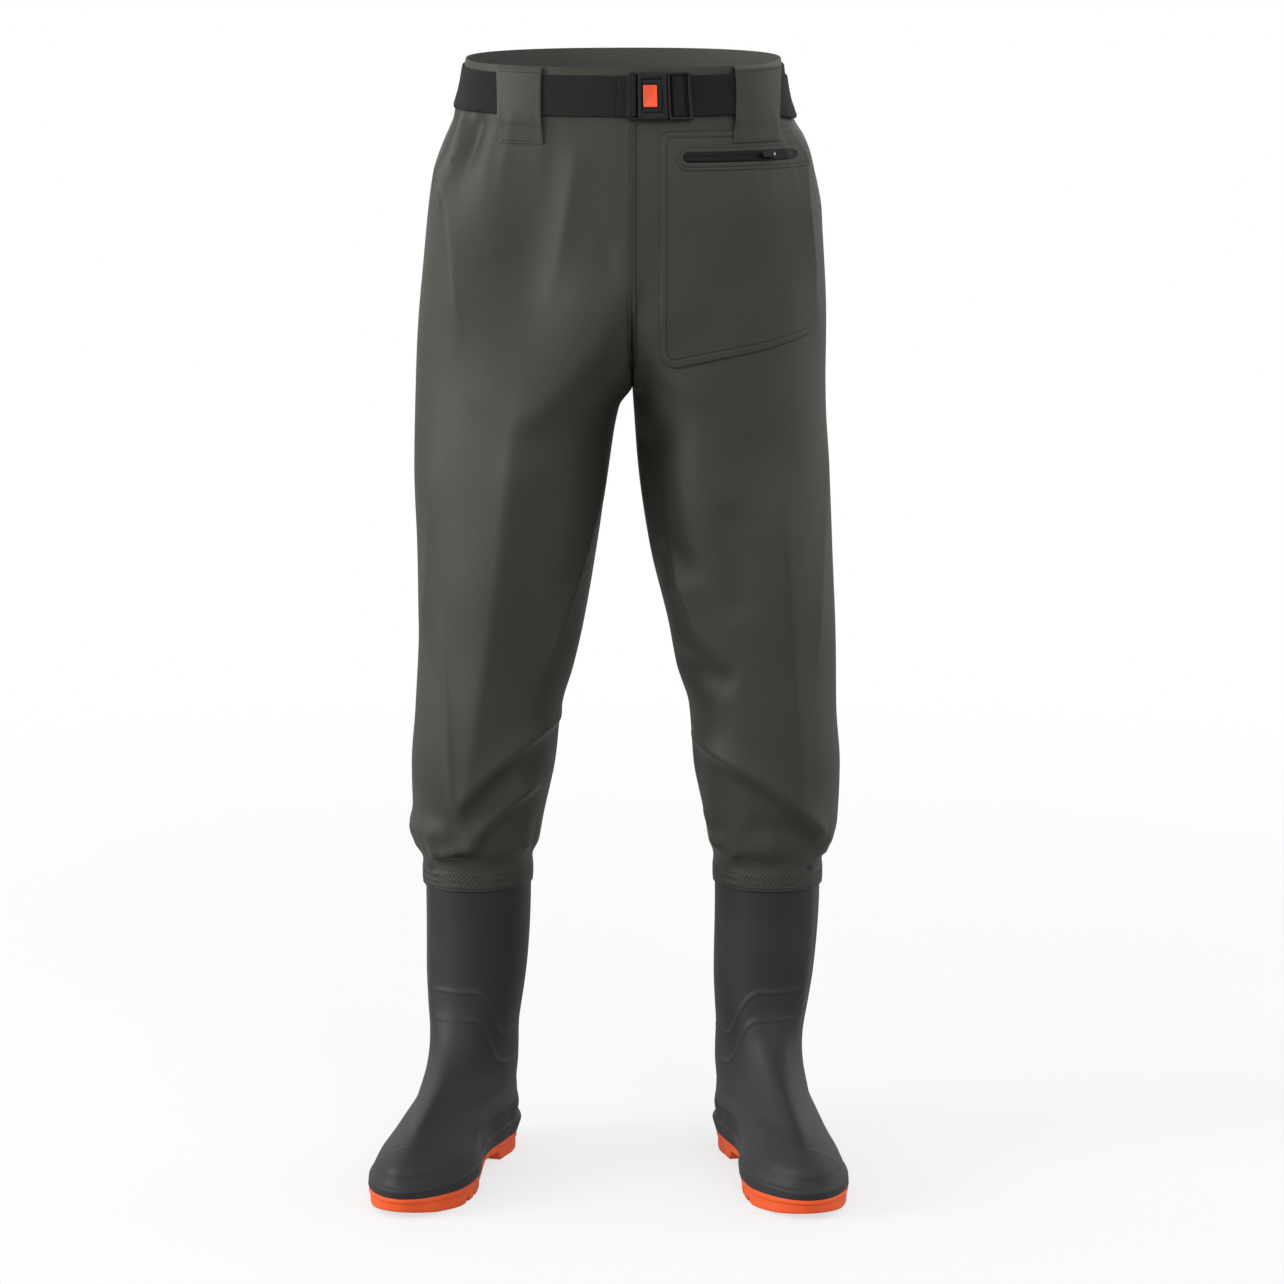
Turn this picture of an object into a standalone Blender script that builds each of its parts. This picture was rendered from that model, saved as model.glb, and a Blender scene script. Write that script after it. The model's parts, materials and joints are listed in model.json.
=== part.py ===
"""Waist wader: trousers of coated cloth welded to two moulded boots, with a webbing belt and a zipped pocket.

Frame: metres, +Z up, both soles on z = 0, the wearer faces -Y and the wearer's left is +X.
The origin is the middle of the bounding box on the floor.
"""

import functools
import math

import bmesh
import bpy
import numpy as np
from mathutils import Matrix, Vector

# Sides of the wearer. The value is the sign of x that points away from the centre seam.
RIGHT, LEFT = -1, 1
SIDE_NAMES = {RIGHT: "right", LEFT: "left"}

# Stance, and the gaps between pieces that touch and on top of the cloth
SEAM_X = 0.02265
PLUMB_Y = 0.0280
GAP = 0.0003
LAY = 0.0004
PANEL_LAY = 0.0006
SEAM_LAY = 0.0009

# Trousers
CLOTH_WALL = 0.0012
CROTCH_HEIGHT = 0.772
HEM_HEIGHT = 0.280
HEM_WELD_TOP = 0.301
HEM_BLOUSE = 0.020
SEAM_HALF_WIDTH = 0.0055
SEAM_PULL = 0.03
FRONT_SEAM_SPAN = (0.810, 1.032)
BACK_SEAM_SPAN = (0.910, 1.034)
WAIST_HEIGHT = 1.082
WAIST_LEAN = 0.055
LEAN_FROM = 0.94
FRONT_RISE = 0.125
BACK_RISE = 0.190
THIGH_BLEND = 0.20
BODY_SQUARENESS = 2.35
LEG_SQUARENESS = 2.15
LEG_LINES = [HEM_HEIGHT, HEM_WELD_TOP, 0.311, 0.322, 0.345, 0.39, 0.44, 0.50, 0.57, 0.64, 0.71, 0.75]
HIP_LINES = [CROTCH_HEIGHT, 0.782, 0.80, 0.825, 0.86, 0.91, 0.955, 0.99, 1.015, 1.036, 1.055, WAIST_HEIGHT]
HEIGHT_LINES = np.array(LEG_LINES + HIP_LINES)
AROUND_LINES = np.linspace(-1, 1, 25)

# Belt, loops and buckle. Lifts are heights above the outside of the cloth.
BELT_HEIGHT = 1.0555
BELT_WIDTH = 0.038
BELT_LEAN = 0.065
BELT_LIFT = 0.0004
WEBBING = 0.0018
FOLDED_WEBBING = 0.0016
LOOP_HALF_WIDTH = 0.0213
LOOP_FRONT_FROM_SEAM = {RIGHT: 0.1040, LEFT: 0.1150}
LOOP_BACK_FROM_SEAM = 0.0950
LOOP_THICKNESS = 0.0012
BUCKLE_FROM_SEAM = 0.0260
BUCKLE_HALF_WIDTH = 0.0285
BUCKLE_HALF_TALL = 0.02225
BUCKLE_SPLIT = 0.0063
SOCKET_BACK, SOCKET_SLOT, SOCKET_ROOT = -0.0240, -0.0198, -0.0190
TONGUE_NECK, TONGUE_RIM = 0.0094, 0.0252
TONGUE_BAR, TONGUE_BAR_ENDS = (0.0146, 0.0205), (0.0143, 0.0208)
BELT_START, BELT_END = -0.0215, 0.0098
BAR_LOW, BAR_HIGH = 0.0025, 0.0047
WRAP_LIFT = 0.0050
FRAME_HIGH = 0.0075
HOUSING_HIGH = 0.0086
BUTTON_HIGH = 0.0100
BUTTON_HALF_WIDTH, BUTTON_HALF_TALL = 0.0062, 0.0102
BUTTON_MIDDLE = -0.0092

# Pocket and zip
POCKET_THICKNESS = 0.0008
POCKET_INNER_EDGE, POCKET_SIDE_EDGE = 0.0262, -0.215
POCKET_BOTTOM, POCKET_RISE, POCKET_TOP = 0.8015, 0.0275, 1.0235
POCKET_CORNER = 0.008
POCKET_COLUMN = 0.010
ZIP_HEIGHT = 0.9990
ZIP_TALL = 0.0100
ZIP_FROM, ZIP_TO = 0.0474, 0.1540
ZIP_THICKNESS = 0.0006
SLIDER_AT = 0.1290
SLIDER_LONG, SLIDER_TALL, SLIDER_HIGH = 0.0085, 0.0080, 0.0028
PULL_LONG, PULL_TALL, PULL_THICKNESS, PULL_HEEL = 0.0130, 0.0056, 0.0014, 0.0005

# Boots
BOOT_LENGTH = 0.300
BOOT_WALL = 0.0025
BOOT_TURN = {RIGHT: math.radians(16.0), LEFT: math.radians(11.5)}
BOOT_FROM_SEAM = {RIGHT: 0.1573, LEFT: 0.1250}
BOOT_Y = 0.030
SHAFT_STATION = 0.060
SHAFT_LEAN = {RIGHT: 0.004, LEFT: 0.009}
LEAN_LOW, LEAN_HIGH = 0.09, 0.27
BOOT_ANGLES = 24
BOOT_LINES = np.array([0, 1, 2, 3, 4, 4.6, 5.2, 6, 6.6, 7.2, 7.8, 8.4, 9, 9.7, 10.5, 11.5, 13, 14])
SOLE_HEEL_TOP, SOLE_TOE_TOP, FEATHER_DIP = 0.0213, 0.0195, 0.0022
GROOVE_WIDE, GROOVE_DEEP = 0.0060, 0.0050
GROOVE_STATIONS = (0.026, 0.050, 0.168, 0.188, 0.208, 0.228)
INSOLE_THICKNESS = 0.0040
INSOLE_SPREAD = 0.925
INSOLE_INSET = 0.007

# Faces of a box whose corners run along first, then across, then off
BOX_FACES = [(0, 1, 3, 2), (4, 5, 7, 6), (0, 1, 5, 4), (2, 3, 7, 6), (0, 2, 6, 4), (1, 3, 7, 5)]


def table(names, *rows):
    """A table with named columns. The first column rises and is what the others are read along."""
    return dict(zip(names.split(), np.array(rows, float).T))


# Half widths are measured from the centre seam, front and back from the plumb line.
TROUSERS = table(
    "height right_outer left_outer front back",
    (0.300, 0.2105, 0.1905, -0.034, 0.094),
    (0.318, 0.2150, 0.1950, -0.041, 0.099),
    (0.345, 0.2165, 0.2022, -0.049, 0.102),
    (0.400, 0.2182, 0.2042, -0.060, 0.104),
    (0.460, 0.2135, 0.1995, -0.072, 0.103),
    (0.540, 0.2075, 0.1963, -0.083, 0.106),
    (0.618, 0.2090, 0.1948, -0.092, 0.113),
    (0.697, 0.2112, 0.1915, -0.102, 0.125),
    (0.772, 0.2105, 0.1882, -0.110, 0.141),
    (0.810, 0.2085, 0.1870, -0.114, 0.149),
    (0.870, 0.2040, 0.1855, -0.117, 0.153),
    (0.940, 0.1980, 0.1838, -0.117, 0.148),
    (0.990, 0.1885, 0.1716, -0.115, 0.138),
    (1.030, 0.1725, 0.1524, -0.112, 0.129),
    (1.055, 0.1640, 0.1460, -0.110, 0.125),
    (1.082, 0.1590, 0.1422, -0.108, 0.122),
)
INSEAM = table(
    "height right_inner left_inner",
    (0.300, 0.0985, 0.0820),
    (0.318, 0.0930, 0.0760),
    (0.345, 0.0880, 0.0715),
    (0.400, 0.0765, 0.0606),
    (0.460, 0.0690, 0.0555),
    (0.500, 0.0575, 0.0432),
    (0.540, 0.0478, 0.0358),
    (0.618, 0.0343, 0.0170),
    (0.697, 0.0225, 0.0055),
    (0.755, 0.0120, 0.0012),
    (0.772, 0.0000, 0.0000),
)
# Outline of the foot: half widths over the half chord of an ellipse, from heel (0) to toe (1).
FOOT = table(
    "share lateral medial",
    (0.00, 0.0540, 0.0540),
    (0.13, 0.0540, 0.0540),
    (0.25, 0.0440, 0.0430),
    (0.40, 0.0395, 0.0340),
    (0.50, 0.0420, 0.0365),
    (0.65, 0.0520, 0.0500),
    (0.75, 0.0580, 0.0570),
    (0.85, 0.0620, 0.0620),
    (1.00, 0.0640, 0.0620),
)
# Rings of the boot from the feather edge to the collar. Stations run from the heel to the toe.
# A ring is the foot's outline times its spread, or a plain half width, and taper narrows it to the front.
BOOT = table(
    "level back heel_height front toe_height dip half taper foot spread",
    (0, 0.0005, 0.0216, 0.2985, 0.0198, FEATHER_DIP, 0.050, 0.00, 1.00, 1.020),
    (1, -0.0045, 0.0345, 0.2990, 0.0262, FEATHER_DIP, 0.050, 0.06, 1.00, 1.050),
    (2, -0.0030, 0.0375, 0.2975, 0.0280, FEATHER_DIP, 0.050, 0.06, 1.00, 1.040),
    (3, 0.0030, 0.0400, 0.2950, 0.0310, 0.0020, 0.050, 0.06, 1.00, 1.000),
    (4, 0.0040, 0.0500, 0.2890, 0.0450, 0.0015, 0.050, 0.19, 1.00, 0.950),
    (5, 0.0060, 0.0640, 0.2690, 0.0590, 0.0005, 0.0440, 0.32, 0.20, 0.880),
    (6, 0.0090, 0.0790, 0.2350, 0.0715, 0.0000, 0.0380, 0.56, 0.00, 0.880),
    (7, 0.0115, 0.0950, 0.1950, 0.0870, 0.0000, 0.0380, 0.57, 0.00, 0.880),
    (8, 0.0125, 0.1130, 0.1580, 0.1080, 0.0000, 0.0395, 0.42, 0.00, 0.880),
    (9, 0.0120, 0.1330, 0.1330, 0.1340, 0.0000, 0.0422, 0.18, 0.00, 0.880),
    (10, 0.0100, 0.1560, 0.1225, 0.1600, 0.0000, 0.0462, 0.04, 0.00, 0.880),
    (11, 0.0065, 0.1880, 0.1185, 0.1910, 0.0000, 0.0495, 0.00, 0.00, 0.880),
    (12, 0.0030, 0.2260, 0.1180, 0.2270, 0.0000, 0.0510, 0.00, 0.00, 0.880),
    (13, 0.0010, 0.2700, 0.1190, 0.2700, 0.0000, 0.0518, 0.00, 0.00, 0.880),
    (14, 0.0000, 0.3100, 0.1200, 0.3100, 0.0000, 0.0520, 0.00, 0.00, 0.880),
)
# Underside of the outsole along the foot: heel, breast, arch, tread and toe spring.
SOLE = table(
    "station bottom",
    (0.000, 0.0020),
    (0.008, 0.0000),
    (0.087, 0.0000),
    (0.092, 0.0095),
    (0.128, 0.0100),
    (0.152, 0.0000),
    (0.242, 0.0000),
    (0.275, 0.0026),
    (0.300, 0.0070),
)
SOLE_STATIONS = (0.003, 0.020, 0.040, 0.065, 0.110, 0.180, 0.210, 0.258, 0.290, 0.297)
# Side of the outsole: height as a share of its thickness, and how far it stands in from the outline.
SOLE_SIDE = table(
    "share inset",
    (0.00, 0.0030),
    (0.12, 0.0018),
    (0.66, 0.0014),
    (0.72, 0.0002),
    (1.00, 0.0002),
)
# Belt tail: distance from the buckle's middle and lift, up a slot, over the bar and behind the frame.
TAIL_WRAP = table(
    "along lift",
    (0.0102, BAR_LOW),
    (0.0120, WRAP_LIFT),
    (0.0212, WRAP_LIFT),
    (0.0232, BAR_LOW),
    (0.0248, BAR_LOW),
    (0.0300, BAR_LOW),
)
TAIL_END = 0.14
TAIL_DROP = 0.011
# Sewn end of the belt: from behind the buckle's slot over its outer bar and back on to the belt.
END_WRAP = table(
    "along lift",
    (-0.0400, BAR_LOW),
    (-0.0305, BAR_LOW),
    (-0.0290, WRAP_LIFT),
    (-0.0260, WRAP_LIFT),
    (-0.0228, WRAP_LIFT),
    (-0.0210, BAR_LOW),
)
# Belt loop from the waist edge down: height, and share of its standing off over the webbing.
LOOP = table(
    "drop stand",
    (0.0005, 0.00),
    (0.0045, 1.00),
    (0.0270, 1.08),
    (0.0460, 1.00),
    (0.0500, 1.00),
    (0.0580, 0.55),
    (0.0670, 0.08),
    (0.0705, 0.00),
)


def smooth(columns, name, at):
    """Value of a column at the given places, on a curve through the rows that never overshoots them."""
    places, values = next(iter(columns.values())), columns[name]
    slopes = np.diff(values) / np.diff(places)
    product = slopes[:-1] * slopes[1:]
    total = np.where(product > 0, slopes[:-1] + slopes[1:], 1.0)
    middle = np.where(product > 0, 2 * product / total, 0.0)
    tangents = np.concatenate([slopes[:1], middle, slopes[-1:]])
    at = np.clip(at, places[0], places[-1])
    index = np.clip(np.searchsorted(places, at) - 1, 0, len(places) - 2)
    step = places[index + 1] - places[index]
    t = (at - places[index]) / step
    rise = values[index + 1] - values[index]
    start, end = tangents[index] * step, tangents[index + 1] * step
    return values[index] + t * (start + t * (3 * rise - 2 * start - end + t * (start + end - 2 * rise)))


def ease(at, low, high):
    """0 below low, 1 above high, and a smooth step between."""
    t = np.clip((at - low) / (high - low), 0, 1)
    return t * t * (3 - 2 * t)


def rounded(value, squareness):
    """Cosine or sine made squarer, for a superellipse."""
    return np.sign(value) * np.abs(value) ** (2 / squareness)


def foot_half_width(angle, toe_share):
    """Half width of the foot's outline on the outer or inner side, over the half chord of an ellipse."""
    lateral, medial = smooth(FOOT, "lateral", toe_share), smooth(FOOT, "medial", toe_share)
    return np.where(np.sin(angle) > 0, lateral, medial)


def boot_ring(angle, level, lift=0.0):
    """Across, station and height on a boot ring. Angle 0 is the toe, a quarter turn is the outer side."""
    back, front = smooth(BOOT, "back", level) - lift, smooth(BOOT, "front", level) + lift
    toe_share = (1 + np.cos(angle)) / 2
    station = back + (front - back) * toe_share
    foot, plain = smooth(BOOT, "foot", level), smooth(BOOT, "half", level)
    outline = foot_half_width(angle, toe_share) * smooth(BOOT, "spread", level)
    half = (foot * outline + (1 - foot) * plain) * (1 - smooth(BOOT, "taper", level) * np.cos(angle)) + lift
    heel, toe = smooth(BOOT, "heel_height", level), smooth(BOOT, "toe_height", level)
    dip = smooth(BOOT, "dip", level) * 4 * toe_share * (1 - toe_share)
    return half * np.sin(angle), station, heel + (toe - heel) * toe_share - dip


def stand_boot(side, across, station, height):
    """A point of the boot's own frame, turned out and set on the floor."""
    turn, forward = BOOT_TURN[side], station - SHAFT_STATION
    lean = SHAFT_LEAN[side] * ease(height, LEAN_LOW, LEAN_HIGH)
    out = BOOT_FROM_SEAM[side] + forward * math.sin(turn) + across * math.cos(turn)
    y = BOOT_Y + PLUMB_Y - forward * math.cos(turn) + across * math.sin(turn)
    return np.stack(np.broadcast_arrays(SEAM_X + side * out + lean, y, height), axis=-1)


def shaft_level(height):
    """Level of the ring at a height of the shaft, where the rings lie flat."""
    return np.interp(height, BOOT["heel_height"], BOOT["level"])


def drape(side, around, height):
    """Outside of the trousers. Around is 0 at the outer side, -1 at the front or inner seam, 1 behind."""
    around, height = np.broadcast_arrays(np.asarray(around, float), np.asarray(height, float))
    name = SIDE_NAMES[side]
    outer = smooth(TROUSERS, name + "_outer", height)
    inner = np.where(height < CROTCH_HEIGHT, smooth(INSEAM, name + "_inner", height), 0.0)
    front, back = smooth(TROUSERS, "front", height), smooth(TROUSERS, "back", height)
    middle, depth = (front + back) / 2, (back - front) / 2

    turn = around * math.pi
    below = height < CROTCH_HEIGHT
    on_body = ease(height, CROTCH_HEIGHT, CROTCH_HEIGHT + BACK_RISE)
    leg_share = (1 + rounded(np.cos(turn), LEG_SQUARENESS)) / 2
    share = leg_share + on_body * (rounded(np.cos(turn / 2), BODY_SQUARENESS) - leg_share)
    size = np.clip(np.abs(share), 0, 1)
    oval = (1 - np.abs(2 * size - 1) ** LEG_SQUARENESS) ** (1 / LEG_SQUARENESS)
    closing = np.where(size < 0.5, oval, 1.0)
    rise = np.where(around < 0, FRONT_RISE, BACK_RISE)
    above = np.clip((height - CROTCH_HEIGHT) / rise, 0, 1)
    fork = 1 - np.sqrt(1 - (1 - above) ** 2)
    half_body = (1 - size ** BODY_SQUARENESS) ** (1 / BODY_SQUARENESS)
    hip = half_body * (1 - fork * (1 - closing))
    on_hip = ease(height, CROTCH_HEIGHT - THIGH_BLEND, CROTCH_HEIGHT)
    facing = np.where(below, np.sign(np.sin(turn)), np.sign(around))
    y = middle + depth * facing * (oval + on_hip * (hip - oval))
    out = inner + (outer - inner) * share
    lean = WAIST_LEAN * ease(height, LEAN_FROM, WAIST_HEIGHT) * (y - front)
    points = np.stack([SEAM_X + side * out, y + PLUMB_Y, height + lean], axis=-1)

    boot_angle = math.pi / 2 + turn - BOOT_TURN[side]
    weld = stand_boot(side, *boot_ring(boot_angle, shaft_level(height), GAP + CLOTH_WALL))
    weld[..., 2] = height
    free = ease(height, HEM_WELD_TOP, HEM_WELD_TOP + HEM_BLOUSE)[..., None]
    return free * points + (1 - free) * weld


@functools.lru_cache(maxsize=None)
def facets(side):
    """Corners of the trousers' facets on one side, and the outward direction at each. Halves part at the seam."""
    around, height, step = AROUND_LINES[None, :], HEIGHT_LINES[:, None], 1e-3
    along = drape(side, around + step, height) - drape(side, around - step, height)
    up = drape(side, around, height + step) - drape(side, around, height - step)
    normal = side * np.cross(along, up)
    on_seam = (np.abs(around) == 1) & (height >= CROTCH_HEIGHT)
    normal[..., 0] = np.where(on_seam, 0.0, normal[..., 0])
    normal /= np.maximum(np.linalg.norm(normal, axis=-1, keepdims=True), 1e-12)
    points = drape(side, around, height)
    points[..., 0] += side * GAP / 2 * (1 - ease(side * (points[..., 0] - SEAM_X), 0.0, SEAM_PULL))
    return points, normal


def on_cloth(side, around, height, lift):
    """A point that stands off the trousers' facets by lift."""
    around, height, lift = np.broadcast_arrays(*(np.asarray(v, float) for v in (around, height, lift)))
    points, normals = facets(side)
    column = np.clip(np.searchsorted(AROUND_LINES, around) - 1, 0, len(AROUND_LINES) - 2)
    row = np.clip(np.searchsorted(HEIGHT_LINES, height) - 1, 0, len(HEIGHT_LINES) - 2)
    across = ((around - AROUND_LINES[column]) / (AROUND_LINES[column + 1] - AROUND_LINES[column]))[..., None]
    up = ((height - HEIGHT_LINES[row]) / (HEIGHT_LINES[row + 1] - HEIGHT_LINES[row]))[..., None]
    place = 0
    for grid, size in ((points, 1.0), (normals, lift[..., None])):
        first, last = grid[row, column], grid[row + 1, column + 1]
        beside, above = grid[row, column + 1], grid[row + 1, column]
        lower = first + across * (beside - first) + up * (last - beside)
        upper = first + up * (above - first) + across * (last - above)
        place = place + size * np.where(across >= up, lower, upper)
    return place


def around_at(side, from_seam, height, back=False):
    """Place around the trousers of a distance from the seam, seen from the front or from the back."""
    from_seam, height = np.broadcast_arrays(np.asarray(from_seam, float), np.asarray(height, float))
    samples = np.linspace(0, 1, 161) * (1 if back else -1)
    found = np.empty(from_seam.shape)
    for place in np.ndindex(from_seam.shape):
        out = side * (on_cloth(side, samples, height[place], 0.0)[:, 0] - SEAM_X)
        found[place] = np.interp(from_seam[place], out[::-1], samples[::-1])
    return found


def lines_between(lines, low, high):
    """The two ends, and the facet lines that lie between them."""
    return np.array([low, *[v for v in lines if low + 2e-3 < v < high - 2e-3], high])


def material(name, colour, roughness, metallic=0.0):
    made = bpy.data.materials.new(name)
    made.use_nodes = True
    shader = made.node_tree.nodes["Principled BSDF"]
    shader.inputs["Base Color"].default_value = (*colour, 1)
    shader.inputs["Roughness"].default_value = roughness
    shader.inputs["Metallic"].default_value = metallic
    return made


def add_object(name, points, faces, finish):
    """One named object whose mesh faces out."""
    mesh = bpy.data.meshes.new(name)
    mesh.from_pydata([tuple(map(float, p)) for p in points], [], faces)
    shape = bmesh.new()
    shape.from_mesh(mesh)
    bmesh.ops.remove_doubles(shape, verts=shape.verts, dist=1e-6)
    bmesh.ops.recalc_face_normals(shape, faces=shape.faces)
    closed = all(edge.is_manifold for edge in shape.edges)
    if closed and shape.calc_volume(signed=True) < 0:
        bmesh.ops.reverse_faces(shape, faces=shape.faces)
    shape.to_mesh(mesh)
    shape.free()
    mesh.materials.append(finish)
    mesh.shade_smooth()
    mesh.set_sharp_from_angle(angle=math.radians(40))
    made = bpy.data.objects.new(name, mesh)
    bpy.context.scene.collection.objects.link(made)
    return made


def grid_faces(rows, columns, first=0, closed=False):
    """Triangles of a grid of points, each cell cut along the same diagonal, joined round where closed."""
    last = columns if closed else columns - 1
    starts = [(first + r * columns + c, first + r * columns + (c + 1) % columns)
              for r in range(rows - 1) for c in range(last)]
    lower = [(a, b, b + columns) for a, b in starts]
    return lower + [(a, b + columns, a + columns) for a, b in starts]


def slab(name, low, high, finish):
    """A closed plate between two grids of points."""
    rows, columns = low.shape[:2]
    count = rows * columns
    faces = grid_faces(rows, columns) + grid_faces(rows, columns, count)
    edge = list(range(columns))
    edge += [r * columns + columns - 1 for r in range(1, rows)]
    edge += [(rows - 1) * columns + c for c in range(columns - 2, -1, -1)]
    edge += [r * columns for r in range(rows - 2, 0, -1)]
    faces += [(a, b, b + count, a + count) for a, b in zip(edge, edge[1:] + edge[:1])]
    return add_object(name, np.concatenate([low.reshape(-1, 3), high.reshape(-1, 3)]), faces, finish)


def thin_wall(made, thickness):
    """Gives an open surface its wall, inwards."""
    wall = made.modifiers.new("wall", "SOLIDIFY")
    wall.thickness = thickness
    wall.offset = -1
    wall.use_even_offset = True
    wall.use_quality_normals = True


def combine(made, form, operation):
    """Joins a hidden form to a solid, or cuts it away."""
    form.hide_render = True
    form.display_type = "WIRE"
    step = made.modifiers.new(form.name, "BOOLEAN")
    step.operation = operation
    step.object = form


def build_trousers(finish):
    """Two leg halves that meet along the front and back seams above the crotch, each a wall of cloth."""
    for side in (RIGHT, LEFT):
        outer, normals = facets(side)
        inner = outer - CLOTH_WALL * normals
        rows, columns = outer.shape[:2]
        fork = int(np.searchsorted(HEIGHT_LINES, CROTCH_HEIGHT))
        inner[:fork + 1, 0] = inner[:fork + 1, -1] = (inner[:fork + 1, 0] + inner[:fork + 1, -1]) / 2
        count = rows * columns
        faces = grid_faces(rows, columns) + grid_faces(rows, columns, count)
        for row in (0, rows - 1):
            first = row * columns
            faces += [(c, c + 1, c + 1 + count, c + count) for c in range(first, first + columns - 1)]
        for column in (0, columns - 1):
            seam = [row * columns + column for row in range(fork, rows)]
            faces += [(a, b, b + count, a + count) for a, b in zip(seam, seam[1:])]
        points = np.concatenate([outer.reshape(-1, 3), inner.reshape(-1, 3)])
        add_object("trouser_half_" + SIDE_NAMES[side], points, faces, finish)


def build_seam(name, back, span, finish):
    """Welded strip down the centre of the front or of the back."""
    heights = lines_between(HEIGHT_LINES, *span)
    seam = 1.0 if back else -1.0
    edges = {side: around_at(side, SEAM_HALF_WIDTH, heights, back) for side in (RIGHT, LEFT)}
    grids = []
    for lift in (SEAM_LAY, SEAM_LAY + POCKET_THICKNESS):
        right = on_cloth(RIGHT, edges[RIGHT], heights, lift)
        middle = on_cloth(RIGHT, seam, heights, lift)
        left = on_cloth(LEFT, edges[LEFT], heights, lift)
        grids.append(np.stack([right, middle, left], axis=1))
    slab(name, grids[0], grids[1], finish)


def strap(name, path, lifts, drops, crossed, thickness, finish):
    """Webbing along a path of sides and places round the waist, over the facet lines that it crosses."""
    grids = []
    for extra in (0.0, thickness):
        rows = []
        for (side, around), lift, drop in zip(path, lifts, drops):
            depth = on_cloth(side, around, BELT_HEIGHT, 0.0)[1] - PLUMB_Y - TROUSERS["front"][-2]
            middle = BELT_HEIGHT + (BELT_LEAN - WAIST_LEAN) * depth - drop
            low, high = middle - BELT_WIDTH / 2, middle + BELT_WIDTH / 2
            heights = np.array([low, *np.maximum(low + 5e-4, crossed), high])
            rows.append(on_cloth(side, around, heights, lift + extra))
        grids.append(np.stack(rows))
    slab(name, grids[0], grids[1], finish)


def buckle_place(along):
    """Side and place round the waist of a distance from the buckle's middle."""
    from_seam = BUCKLE_FROM_SEAM + along
    side = LEFT if from_seam >= 0 else RIGHT
    return side, float(around_at(side, abs(from_seam), BELT_HEIGHT))


def build_belt(finish):
    """The belt from the buckle's slot round the back to the buckle's bar, its sewn end and its free tail."""
    start, end = buckle_place(BELT_START), buckle_place(BELT_END)
    path = [start, (LEFT, -1.0)]
    path += [(RIGHT, a) for a in AROUND_LINES[1:]]
    path += [(LEFT, a) for a in AROUND_LINES[-2::-1] if a > end[1] + 0.004] + [end]
    level, one_line, two_lines = [0.0] * len(path), HEIGHT_LINES[-2:-1], HEIGHT_LINES[-3:-1]
    strap("belt", path, [BELT_LIFT] * len(path), level, one_line, WEBBING, finish)

    path = [buckle_place(along) for along in END_WRAP["along"]]
    strap("belt_sewn_end", path, END_WRAP["lift"], level, one_line, FOLDED_WEBBING, finish)

    path = [buckle_place(along) for along in TAIL_WRAP["along"]]
    free = lines_between(AROUND_LINES, path[-1][1], TAIL_END)[1:]
    path += [(LEFT, a) for a in free]
    lifts = [*TAIL_WRAP["lift"], *[BAR_LOW] * len(free)]
    drops = [TAIL_DROP * ease(around, -0.50, -0.05) for _, around in path]
    strap("belt_tail", path, lifts, drops, two_lines, FOLDED_WEBBING, finish)


def build_loop(name, side, from_seam, back, foot_lift, stand_off, finish):
    """A cloth strip sewn at the waist edge and below the belt, standing off for the webbing."""
    heights = WAIST_HEIGHT - LOOP["drop"]
    lift = np.interp(heights, [heights[-1], heights[0]], [foot_lift, LAY])
    lift = lift + LOOP["stand"] * (stand_off - lift)
    edges = np.sort(around_at(side, from_seam + LOOP_HALF_WIDTH * np.array([-1, 1]), BELT_HEIGHT, back))
    places = lines_between(AROUND_LINES, *edges)[None, :]
    low = on_cloth(side, places, heights[:, None], lift[:, None])
    high = on_cloth(side, places, heights[:, None], lift[:, None] + LOOP_THICKNESS)
    slab(name, low, high, finish)


def bent_frame(name, xs, zs, solid, low, high, finish):
    """A frame of cells bent to the belly, along the belt and up. Solid marks the filled cells."""
    wide, tall = len(xs), len(zs)
    points, faces = [], []
    for lift in (low, high):
        for x in xs:
            side, around = buckle_place(x)
            points.extend(on_cloth(side, around, BELT_HEIGHT + np.array(zs), lift))
    count = wide * tall

    def filled(i, j):
        return 0 <= i < wide - 1 and 0 <= j < tall - 1 and solid[i][j]

    for i, j in np.ndindex(wide - 1, tall - 1):
        if not filled(i, j):
            continue
        a, b, c, d = i * tall + j, (i + 1) * tall + j, (i + 1) * tall + j + 1, i * tall + j + 1
        faces += [(a, b, c, d), (a + count, b + count, c + count, d + count)]
        sides = {(i, j - 1): (a, b), (i + 1, j): (b, c), (i, j + 1): (c, d), (i - 1, j): (d, a)}
        faces += [(p, q, q + count, p + count) for near, (p, q) in sides.items() if not filled(*near)]
    used = sorted({v for face in faces for v in face})
    number = {v: n for n, v in enumerate(used)}
    return add_object(name, [points[v] for v in used], [[number[v] for v in face] for face in faces], finish)


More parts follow.
